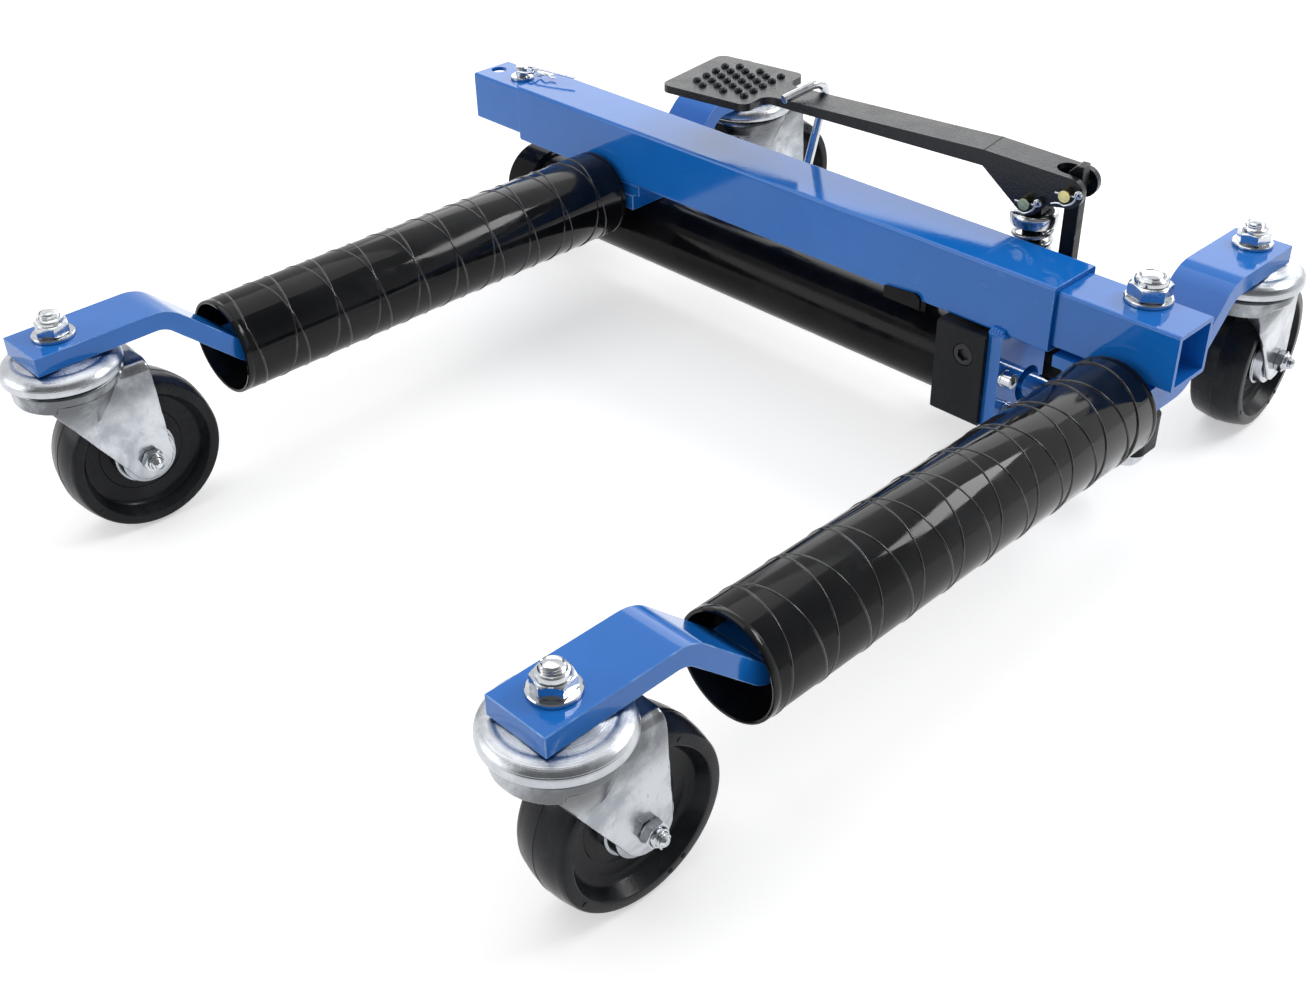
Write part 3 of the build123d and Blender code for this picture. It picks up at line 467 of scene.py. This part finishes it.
def about_z(degrees):
    """Turn about Z."""
    return Matrix.Rotation(radians(degrees), 4, "Z")


def joined(*shapes):
    """One shape from several."""
    whole = bmesh.new()
    for bm in shapes:
        carrier = bpy.data.meshes.new("carrier")
        bm.to_mesh(carrier)
        bm.free()
        whole.from_mesh(carrier)
        bpy.data.meshes.remove(carrier)
    return whole


def round_edges(bm, width, angle):
    """Round every edge sharper than the angle in degrees, and return the new faces."""
    sharp = [e for e in bm.edges if len(e.link_faces) == 2 and e.calc_face_angle() > radians(angle)]
    made = bmesh.ops.bevel(bm, geom=sharp, offset=width, offset_type="OFFSET", affect="EDGES", segments=2,
                           profile=0.5, material=-1, clamp_overlap=True)
    return made["faces"]


def show(name, bm, body, material, stands_for=(), edge=None, smooth=32.0):
    """Finished piece from a shape in the frame's metres.

    Edges sharper than smooth degrees are drawn crisp.
    """
    mesh = bpy.data.meshes.new(name)
    bm.to_mesh(mesh)
    bm.free()
    mesh.shade_smooth()
    mesh.set_sharp_from_angle(angle=radians(smooth))
    mesh.materials.append(material)
    if edge:
        mesh.materials.append(edge)
    piece = bpy.data.objects.new(name, mesh)
    bpy.context.scene.collection.objects.link(piece)
    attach(piece, body)
    if stands_for:
        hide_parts(*stands_for)
    return piece


def show_drawn(name, bm, body, material, stands_for=(), edge=None, smooth=32.0):
    """Finished piece from a shape drawn in millimetres."""
    bmesh.ops.translate(bm, vec=origin, verts=bm.verts)
    bmesh.ops.scale(bm, vec=(mm, mm, mm), verts=bm.verts)
    return show(name, bm, body, material, stands_for, edge, smooth)


def cad_copy(node):
    """Copy of a CAD node's shape with its triangles merged into faces."""
    bm = bmesh.new()
    bm.from_mesh(cad[node].data)
    bmesh.ops.remove_doubles(bm, verts=bm.verts, dist=2e-6)
    bmesh.ops.dissolve_limit(bm, angle_limit=radians(0.6), verts=bm.verts, edges=bm.edges)
    return bm


def softened(node, material, edge=None, width=0.5, angle=28.0, smooth=32.0):
    """Stand-in for a CAD node with rounded edges, which take their own finish if one is given."""
    bm = cad_copy(node)
    rounded = round_edges(bm, width * mm, angle)
    if edge:
        for face in rounded:
            face.material_index = 1
    piece = show(node + "_finished", bm, body_of[node], material, [node], edge, smooth)
    flats = piece.modifiers.new("flats", "WEIGHTED_NORMAL")
    flats.weight = 100
    flats.keep_sharp = True
    return piece


def plain(node, material):
    """CAD node that stays as it is and takes a finish."""
    data = cad[node].data
    data.materials.clear()
    data.materials.append(material)


def shank(radius, low, high, steps=40):
    """Plain round shank along Z."""
    return lathe([(0, low), (radius, low), (radius, high), (0, high)], steps)


def thread(radius, low, high):
    """Threaded bolt end with a domed tip."""
    pitch = 1.5
    core = radius - 0.5 * pitch
    root = core - 0.1
    tip = [(core, low), (core, high - 0.9), (core - 0.9, high), (core * 0.5, high + 0.5), (0, high + 0.7)]
    ridge = [(root, low), (radius, low + 0.4 * pitch), (radius, low + 0.55 * pitch), (root, low + pitch)]
    turns = (high - low - 1.2) / pitch
    return joined(lathe(tip, 48), helix(ridge, pitch, turns))


def hex_nut(flats, high, bore_r):
    """Six-sided nut with chamfered corners, standing on z = 0."""
    corner_r = flats / 2 / cos(pi / 6)
    face_r = flats * 0.485
    slope = 0.55
    rise = (corner_r - face_r) * slope
    levels = 6
    points = [(bore_r, 0)]
    for level in range(levels + 1):
        part = level / levels
        points.append((face_r + (corner_r - face_r) * part, rise * part))
    for level in range(levels + 1):
        part = 1 - level / levels
        points.append((face_r + (corner_r - face_r) * part, high - rise * part))
    points.append((bore_r, high))
    bm = lathe(points, 72)
    for vert in bm.verts:
        reach = vert.co.xy.length
        if reach > face_r - 0.01:
            turn = vert.co.xy.angle_signed(Vector((1, 0)))
            limit = flats / 2 / cos((turn + pi / 6) % (pi / 3) - pi / 6)
            if reach > limit:
                vert.co.xy *= limit / reach
    return bm


def lock_nut(flats, high, bolt_r, bolt_out):
    """Nut with its rolled collar, the insert ring inside it and the bolt's end, standing on z = 0."""
    hex_high = high * 0.68
    collar_r = flats * 0.44
    lip = collar_r * 0.8
    collar = lathe([(collar_r, hex_high - 0.4), (collar_r, high - 2.2), (collar_r - 0.5, high - 0.8),
                    (collar_r - 1.4, high - 0.1), (lip, high), (lip - 0.5, high - 0.4),
                    (lip - 0.6, high - 1.4), (bolt_r, high - 1.5)], 60)
    return joined(hex_nut(flats, hex_high, bolt_r), collar, thread(bolt_r, high - 2.5, high + bolt_out))


def washer(outer_r, bore_r, thick):
    """Flat washer with worn edges, standing on z = 0."""
    edge = thick * 0.22
    return lathe([(bore_r, 0), (outer_r - edge, 0), (outer_r, edge), (outer_r, thick - edge),
                  (outer_r - edge, thick), (bore_r + edge, thick), (bore_r, thick - edge), (bore_r, 0)], 72)


def hex_head(flats, high):
    """Six-sided bolt head with chamfered corners, standing on z = 0."""
    bm = hex_nut(flats, high, 0.0)
    bmesh.ops.remove_doubles(bm, verts=bm.verts, dist=1e-3)
    return bm


def caster_at(name):
    """Place of a caster's own frame: stem on Z, wheel trailing towards +Y."""
    side, y, turn = casters[name]
    return at(bar_x[name], y, 0) @ about_z(turn)


def wheel_at(name):
    """Place of a wheel's own frame: axle on Z, at the middle of the wheel."""
    return caster_at(name) @ at(0, trail, wheel_axis_z) @ along_x()


def add_roller(side):
    """Roller sleeve with rolled lips and two thin crossing seams wound round it."""
    long = roller_back - roller_front
    wall = (roller_r + roller_bore_r) / 2
    groove_r = roller_r - 0.25
    lip = [(roller_bore_r, 1.2), (roller_bore_r + 0.3, 0.3), (wall, 0), (roller_r - 0.3, 0.3),
           (roller_r, 1.3), (roller_r, 4.0), (groove_r, 4.6), (groove_r, 5.2), (roller_r, 5.8)]
    far_lip = [(r, long - z) for r, z in lip[::-1]]
    sleeve = lathe(lip + far_lip + [lip[0]], 120)
    seam = [(roller_r - 0.1, 6.8), (roller_r + 0.3, 7.1), (roller_r + 0.5, 7.5), (roller_r + 0.5, 7.9),
            (roller_r + 0.3, 8.3), (roller_r - 0.1, 8.6)]
    turns = (long - 15) / ridge_pitch
    seams = [helix(seam, ridge_pitch * way, turns, ridge_start[side], 72) for way in (1, -1)]
    # The seams take the lighter seam colour, a painted highlight
    for bm in seams:
        for face in bm.faces:
            face.material_index = 1
    roller = moved(joined(sleeve, *seams), at(arm_x[side], roller_front, roller_z) @ along_y())
    show_drawn(side + "_roller_sleeve", roller, side + "_roller_body", roller_black, [side + "_roller"],
               roller_seam_painted_sheen)


def wheel_shape():
    """Moulded wheel about Z: crowned tread with its parting line, flat rims, dished webs and a hub."""
    crown = []
    steps = 12
    for step in range(steps + 1):
        z = -tread_half + 2 * tread_half * step / steps
        crown.append((wheel_r - 1.9 * (z / tread_half) ** 2, z))
    line_r = wheel_r + 0.25
    middle = steps // 2
    crown[middle:middle + 1] = [(wheel_r, -1.6), (line_r, -1.3), (line_r, -1.0), (wheel_r, -0.7)]
    hub = [(6.1, -18.2), (15.6, -18.2), (16.4, -17.4), (16.4, -12.0)]
    dish = [(17.6, -7.8), (19.6, -6.3), (27.5, -6.0), (28.2, -6.5), (35.0, -6.7), (37.2, -7.2), (38.8, -8.3),
            (39.8, -9.9), (42.2, -16.5), (42.6, -17.2)]
    rim = [(43.2, -wheel_half), (47.6, -wheel_half), (48.9, -17.0), (49.8, -15.6)]
    near = hub + dish + rim
    far = [(r, -z) for r, z in near[::-1]]
    return lathe(near + crown + far + [near[0]], 128)


def rim_nubs():
    """Small moulding nubs on both rims of a wheel."""
    nub_reach = 45.9
    nubs = []
    for side in (-1, 1):
        for turn in (20, 32, 150, 232, 305):
            nub = lathe([(1.5, -0.6), (1.5, 0.25), (1.1, 0.5), (0, 0.5)], 14)
            place = about_z(turn) @ at(nub_reach, 0, side * wheel_half)
            if side < 0:
                place = place @ upside_down()
            nubs.append(moved(nub, place))
    return nubs


def add_wheel(name):
    """Moulded wheel with its rim nubs and the two pressed covers of its hub."""
    body = name + "_wheel_body"
    wheel = moved(joined(wheel_shape(), *rim_nubs()), wheel_at(name))
    show_drawn(name + "_moulded_wheel", wheel, body, wheel_plastic, [name + "_wheel"], smooth=24.0)
    cover = [(7.0, 18.4), (17.0, 18.4), (17.9, 18.1), (18.3, 17.4), (18.3, 13.2), (18.8, 12.4), (20.2, 12.1),
             (20.4, 11.7), (20.0, 11.4), (18.2, 11.6), (17.6, 12.4), (17.6, 17.3), (16.8, 17.9), (7.0, 17.9),
             (7.0, 18.4)]
    covers = moved(joined(lathe(cover, 72), moved(lathe(cover, 72), upside_down())), wheel_at(name))
    show_drawn(name + "_hub_covers", covers, body, pressed_zinc, smooth=40.0)


def add_head(name):
    """Pressed swivel head: flat top with a faint ring line, rolled rim and a straight lip."""
    top = bar_under
    flat = [(stem_r, top - 0.05), (21.5, top - 0.05), (23.0, top - 0.9), (26.5, top - 1.2), (27.2, top - 1.5),
            (27.9, top - 1.25)]
    rim = [(30.5, top - 1.7), (32.6, top - 2.3), (34.4, top - 3.3), (35.8, top - 4.7), (36.7, top - 6.4)]
    lip = [(head_r, top - 8.2), (head_r, top - 10.2), (36.7, top - 10.8), (36.2, top - 11.0),
           (35.2, top - 11.0), (34.8, top - 10.6)]
    inside = [(34.8, top - 7.4), (32.4, top - 6.6), (stem_r, top - 6.6)]
    head = lathe(flat + rim + lip + inside + [flat[0]], 120)
    turning = head.verts.layers.float.new("turning")
    for vert in head.verts:
        vert[turning] = vert.co.xy.length
    node = name + "_swivel_head"
    show_drawn(name + "_pressed_head", moved(head, caster_at(name)), body_of[node], turned_zinc, [node],
               smooth=50.0)


def add_fork(name):
    """Pressed fork with every bend and sheet edge softly rounded."""
    node = name + "_fork"
    bm = bmesh.new()
    bm.from_mesh(cad[node].data)
    bmesh.ops.remove_doubles(bm, verts=bm.verts, dist=2e-6)
    fork = show(name + "_pressed_fork", bm, body_of[node], pressed_zinc, [node], smooth=60.0)
    remesh = fork.modifiers.new("sheet", "REMESH")
    remesh.mode = "VOXEL"
    remesh.voxel_size = 0.9 * mm
    remesh.use_smooth_shade = True
    soften = fork.modifiers.new("bends", "SMOOTH")
    soften.factor = 0.5
    soften.iterations = 6


def add_axle(name):
    """Axle bolt with its head, lock nut and thread end."""
    head = moved(hex_head(flats=16.0, high=5.0), upside_down() @ at(0, 0, fork_half))
    nut = moved(lock_nut(flats=13.0, high=8.0, bolt_r=4.0, bolt_out=3.0), at(0, 0, fork_half))
    axle = moved(joined(shank(axle_r, -fork_half, fork_half), head, nut), wheel_at(name))
    show_drawn(name + "_axle_bolt", axle, name + "_fork_body", zinc, [name + "_axle"], smooth=26.0)


def add_stem_fasteners(side):
    """Washers, lock nuts and bolts that hold an arm's two casters."""
    shapes = []
    for name, (arm, y, turn) in casters.items():
        if arm != side:
            continue
        place = at(bar_x[name], y, 0)
        nut = lock_nut(flats=stem_flats, high=10.5, bolt_r=stem_r, bolt_out=3.0)
        nut_turn = 12 if y == front_stem else 40
        head = hex_head(flats=stem_flats, high=7.0)
        shapes.append(moved(washer(13.0, stem_r, stem_washer_thick), place @ at(0, 0, bar_top)))
        shapes.append(moved(nut, place @ at(0, 0, bar_top + stem_washer_thick) @ about_z(nut_turn)))
        shapes.append(moved(shank(stem_r, stem_low, bar_top), place))
        shapes.append(moved(head, place @ at(0, 0, stem_low) @ upside_down()))
    node = side + "_stem_fasteners"
    show_drawn(side + "_stem_set", joined(*shapes), body_of[node], zinc, [node], smooth=26.0)


def add_arm_bolt():
    """Long arm bolt with its washers and lock nut."""
    x, y = arm_bolt
    nut_low = inner_top + arm_washer_thick
    head = moved(hex_head(flats=arm_bolt_flats, high=10.0), at(0, 0, arm_bolt_low) @ upside_down())
    bolt = moved(joined(shank(arm_bolt_r, arm_bolt_low, nut_low, 48), head), at(x, y, 0))
    show_drawn("arm_bolt_shank", bolt, "carriage", zinc, ["arm_bolt"], smooth=26.0)
    lower = moved(washer(arm_washer_r, arm_bolt_r, 1.0), at(x, y, arm_bolt_low))
    upper = moved(washer(arm_washer_r, arm_bolt_r, arm_washer_thick), at(x, y, inner_top))
    nut = lock_nut(flats=arm_bolt_flats, high=13.5, bolt_r=arm_bolt_r, bolt_out=0.4)
    nut = moved(nut, at(x, y, nut_low) @ about_z(8))
    show_drawn("arm_bolt_lock_nut", joined(lower, upper, nut), "carriage", zinc, ["arm_bolt_nut"],
               smooth=26.0)


def weld_bead(name, seams, radius=2.0):
    """Painted weld beads: overlapping lumps along straight seams, each seam from a start to an end."""
    lumps = []
    for start, end in seams:
        start, end = Vector(start), Vector(end)
        count = max(3, round((end - start).length / (radius * 0.8)))
        for step in range(count + 1):
            spot = start.lerp(end, step / count)
            lump = bmesh.new()
            bmesh.ops.create_icosphere(lump, subdivisions=2, radius=radius)
            swell = 1.0 + 0.12 * sin(7.3 * step + start.x)
            lumps.append(moved(lump, at(*spot) @ Matrix.Scale(swell, 4)))
    show_drawn(name, joined(*lumps), "frame", blue_paint, smooth=60.0)


def add_welds():
    """Beads where plates meet the outer tube."""
    low = beam_bottom
    under = low - 0.6
    half = 21.0
    bracket_left, bracket_right = 199.4, 210.6
    weld_bead("bracket_weld", [((199.5, -half, under), (211.0, -half, under)),
                               ((bracket_right, -half, under), (bracket_right, half, under)),
                               ((bracket_left, -half, under), (bracket_left, half, under))])
    weld_bead("bracket_corner_weld", [((200.5, -23.6, low), (210.0, -23.6, low)),
                                      ((202.0, -23.4, low + 2.0), (208.5, -23.4, low + 2.0))], 2.6)
    weld_bead("left_plate_weld", [((-208, y, low), (-132, y, low)) for y in (-20.4, 20.4)])
    weld_bead("hook_tab_weld", [((x, 23.2, 103), (x, 23.2, 117)) for x in (-42.2, -35.8)], 1.3)


def add_painted_frame():
    """Blue tubes, bars and plates."""
    for node in ("outer_tube", "inner_tube", "bracket_plate", "hook_tab", "left_arm_plate",
                 "right_arm_plate"):
        # Rounded edges take the lighter edge colour: wear and a painted highlight
        softened(node, blue_paint, blue_edge_wear_and_highlight, 0.5)
    for side in arm_x:
        for end in ("front", "rear"):
            softened(side + "_" + end + "_bar", blue_paint, blue_edge_wear_and_highlight, 0.6)


def add_hydraulics():
    """Ram, pump block and its fittings."""
    softened("cylinder_tube", gloss_black, width=0.6)
    softened("cylinder_end_cap", gloss_black, width=0.7, angle=20.0)
    softened("cylinder_lug", gloss_black, width=0.8)
    softened("pump_block", cast_black, cast_edge, 0.7)
    softened("port_plug", dark_steel, width=0.4)
    softened("bracket_screws", zinc, width=0.45)
    softened("release_valve", cast_black, cast_edge, 0.3)
    softened("pump_barrel", gloss_black, width=0.5)
    softened("plunger", gloss_black, width=0.4)
    rod = softened("piston_rod", chrome, cast_black, 0.6)
    eye_start = (arm_bolt[0] - rod_eye_reach + origin.x) * mm
    for face in rod.data.polygons:
        face.material_index = 1 if face.center.x > eye_start else 0
    for node in ("piston", "rod_gland", "link_base_pin"):
        plain(node, dark_steel)


def add_return_spring():
    """Return spring as a fixed copy of the CAD spring, and the pressed cup on it; on the real pump the spring
    shortens as the plunger goes down.
    """
    spring = show("return_spring", cad_copy("plunger_spring"), "frame", spring_steel, ["plunger_spring"],
                  smooth=60.0)
    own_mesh(spring)
    cup = [(7.0, 146.0), (14.0, 146.0), (14.4, 145.6), (14.4, 142.0), (14.8, 141.6), (15.6, 141.6),
           (16.0, 142.2), (16.0, 147.9), (15.7, 149.2), (14.9, 150.2), (13.6, 150.7), (12.6, 150.8),
           (11.8, 150.4), (7.0, 150.2), (7.0, 146.0)]
    show_drawn("spring_cup", moved(lathe(cup), pump_place), "plunger_body", zinc, ["spring_cap"], smooth=40.0)


def add_pedal():
    """Pedal lever with its link and pins, the wire hook, the pedal's studs and the lever's crease."""
    softened("pedal_lever", pedal_black, pedal_edge, 0.8, angle=35.0)
    softened("link_bar", cast_black, cast_edge, 0.6)
    softened("pedal_pins", yellow_zinc, width=0.5)
    softened("hook", zinc, width=0.4, angle=50.0, smooth=50.0)
    studs = []
    for row, count in enumerate(stud_counts):
        for place in range(count):
            stud = lathe([(3.1, -0.4), (3.1, 0.6), (2.7, 1.6), (1.9, 2.4), (1.0, 2.8), (0, 2.9)], 14)
            across = (place - (count - 1) / 2) * stud_pitch
            studs.append(moved(stud, pump_place @ at(stud_first + row * stud_row_gap, across, pedal_top)))
    show_drawn("pedal_studs", joined(*studs), "pedal", pedal_black, smooth=60.0)
    crease = wire([(lever_bend, -lever_half, pedal_top), (lever_bend, lever_half, pedal_top)], 0.35)
    show_drawn("lever_bend_line", moved(crease, pump_place), "pedal", pedal_black, smooth=60.0)


def add_pin_clips():
    """Sprung wire clips through the ends of the pedal's two pins."""
    eye_r = 2.2
    inner, outer = pin_clip_y - 1.6, pin_clip_y - 2.2
    clips = []
    for u, z in pump_pins:
        eye = []
        for step in range(13):
            turn = step * pi / 4
            eye.append((u + 8.5 + eye_r * sin(turn), pin_clip_y - 0.16 * step, z + eye_r - eye_r * cos(turn)))
        path = [(u - 7.5, pin_clip_y, z), (u, pin_clip_y, z), *eye, (u + 7.0, outer, z - 2.5),
                (u + 1.0, outer, z - 6.8), (u - 4.0, inner, z - 5.2), (u - 8.5, inner, z - 7.2)]
        clips.append(moved(wire(path, 0.75), pump_place))
    show_drawn("sprung_pin_clips", joined(*clips), "pedal", zinc, ["pin_clips"], smooth=60.0)


def add_lock_pin():
    """Lock pin with a ribbed head, and its wire loop and hairpin clip."""
    top = inner_top + 0.2
    ribs = []
    for rib in range(4):
        low = top + 3.2 + 1.5 * rib
        ribs += [(4.7, low), (5.2, low + 0.3), (5.2, low + 0.9), (4.7, low + 1.2)]
    stem = [(0, lock_pin_low), (lock_pin_r - 1.5, lock_pin_low), (lock_pin_r, lock_pin_low + 2.0),
            (lock_pin_r, top)]
    flange = [(lock_flange_r - 0.3, top), (lock_flange_r, top + 0.4), (lock_flange_r, top + 1.9),
              (lock_flange_r - 0.5, top + 2.5), (6.2, top + 2.6)]
    tip = [(5.2, top + 9.4), (4.4, top + 10.4), (0, top + 10.6)]
    pin = moved(lathe(stem + flange + ribs + tip, 64), at(lock_x, 0, 0))
    show_drawn("lock_pin_turned", pin, "lock_pin_body", zinc, ["lock_pin"], smooth=30.0)
    loop = [(0.0, -6.0, 0.0), (8.0, -6.4, 0.3), (13.0, -5.6, 0.6), (13.6, 0.0, 0.8), (13.0, 5.6, 0.6),
            (8.0, 6.4, 0.3), (0.0, 6.0, 0.0)]
    cross = [(0.0, -6.6, 0.0), (0.0, 6.6, 0.0)]
    hairpin = [(51.0, 0.0, 1.6), (30.0, 0.0, 2.8), (14.0, 0.0, 3.0), (10.4, 0.0, 2.2), (10.4, 0.0, -2.2),
               (14.0, 0.0, -2.9), (18.0, 0.0, -2.6), (23.0, 0.0, 0.6), (28.0, 0.0, -2.4), (33.0, 0.0, -1.6)]
    place = at(lock_x, 0, top + 7.3) @ about_z(clip_turn)
    wires = [moved(wire(path, 0.9), place) for path in (loop, cross, hairpin)]
    show_drawn("lock_pin_wires", joined(*wires), "lock_pin_body", zinc, ["lock_pin_clip"], smooth=60.0)


def add_hidden_pieces():
    """Pieces inside the rollers and casters."""
    for side in arm_x:
        plain(side + "_axle", gloss_black)
        plain(side + "_roller_bushes", bush_plastic)
        plain(side + "_swivel_balls", zinc)


def seen_background(tree):
    """Two outputs: one is 1 for camera rays, the other for every ray that sees a white background."""
    rays = put(tree, "ShaderNodeLightPath")
    shiny = put(tree, "ShaderNodeMath", operation="MAXIMUM")
    tree.links.new(rays.outputs["Is Glossy Ray"], shiny.inputs[0])
    tree.links.new(rays.outputs["Is Transmission Ray"], shiny.inputs[1])
    seen = put(tree, "ShaderNodeMath", operation="MAXIMUM")
    tree.links.new(rays.outputs["Is Camera Ray"], seen.inputs[0])
    tree.links.new(shiny.outputs["Value"], seen.inputs[1])
    return rays.outputs["Is Camera Ray"], seen.outputs["Value"]


def add_floor():
    """Pale floor that reads as white and keeps a soft shadow."""
    bm = bmesh.new()
    bmesh.ops.create_grid(bm, x_segments=8, y_segments=8, size=6.0)
    mesh = bpy.data.meshes.new("floor")
    bm.to_mesh(mesh)
    bm.free()
    floor = bpy.data.objects.new("floor", mesh)
    bpy.context.scene.collection.objects.link(floor)
    material = bpy.data.materials.new("pale_floor")
    material.use_nodes = True
    tree = material.node_tree
    surface = tree.nodes["Principled BSDF"]
    surface.inputs["Base Color"].default_value = (0.8, 0.8, 0.8, 1.0)
    surface.inputs["Roughness"].default_value = 0.9
    surface.inputs["Emission Color"].default_value = (1.0, 1.0, 1.0, 1.0)
    seen = seen_background(tree)[1]
    glow = between(tree, seen, 0.0, 0.45)
    tree.links.new(glow, surface.inputs["Emission Strength"])
    mesh.materials.append(material)


def add_world():
    """White backdrop round the dolly, dimmer towards the side where the camera stands."""
    world = bpy.data.worlds.new("studio")
    bpy.context.scene.world = world
    world.use_nodes = True
    tree = world.node_tree
    sky = tree.nodes["Background"]
    place = put(tree, "ShaderNodeTexCoord")
    facing = put(tree, "ShaderNodeVectorMath", {1: camera_back}, operation="DOT_PRODUCT")
    tree.links.new(place.outputs["Generated"], facing.inputs[0])
    room = put(tree, "ShaderNodeMapRange", {"From Min": 0.1, "From Max": 0.75, "To Min": 1.0, "To Max": 0.2})
    tree.links.new(facing.outputs["Value"], room.inputs["Value"])
    camera_ray, seen = seen_background(tree)
    shown = put(tree, "ShaderNodeMath", operation="MAXIMUM")
    tree.links.new(camera_ray, shown.inputs[0])
    tree.links.new(room.outputs["Result"], shown.inputs[1])
    strength = put(tree, "ShaderNodeMix", {"A": 0.45}, data_type="FLOAT")
    tree.links.new(seen, strength.inputs["Factor"])
    tree.links.new(shown.outputs["Value"], strength.inputs["B"])
    tree.links.new(strength.outputs["Result"], sky.inputs["Strength"])
    sky.inputs["Color"].default_value = (1.0, 1.0, 1.0, 1.0)


def add_lamp(name):
    """Soft rectangular lamp."""
    place, size, power = lamps[name]
    data = bpy.data.lights.new(name, "AREA")
    data.shape = "RECTANGLE"
    data.size, data.size_y = size
    data.energy = power
    lamp = bpy.data.objects.new(name, data)
    lamp.location = place
    lamp.rotation_euler = (lamp_aim - Vector(place)).to_track_quat("-Z", "Y").to_euler()
    bpy.context.scene.collection.objects.link(lamp)


def add_camera():
    """Camera at the photograph's place, angle and slight roll."""
    level = Vector((cos(camera_azimuth), sin(camera_azimuth), 0.0))
    rise = camera_back.cross(level)
    right = cos(camera_roll) * level + sin(camera_roll) * rise
    up = -sin(camera_roll) * level + cos(camera_roll) * rise
    data = bpy.data.cameras.new("camera")
    data.sensor_width = camera_sensor
    data.lens = camera_lens
    camera = bpy.data.objects.new("camera", data)
    turn = Matrix((right, up, camera_back)).transposed().to_4x4()
    camera.matrix_world = at(*camera_spot) @ turn
    bpy.context.scene.collection.objects.link(camera)
    bpy.context.scene.camera = camera


for side in arm_x:
    add_roller(side)
    add_stem_fasteners(side)
for name in casters:
    add_wheel(name)
    add_head(name)
    add_fork(name)
    add_axle(name)
add_arm_bolt()
add_painted_frame()
add_welds()
add_hydraulics()
add_return_spring()
add_pedal()
add_pin_clips()
add_lock_pin()
add_hidden_pieces()
add_floor()
add_world()
for name in lamps:
    add_lamp(name)
add_camera()
bpy.context.scene.view_settings.view_transform = "Standard"
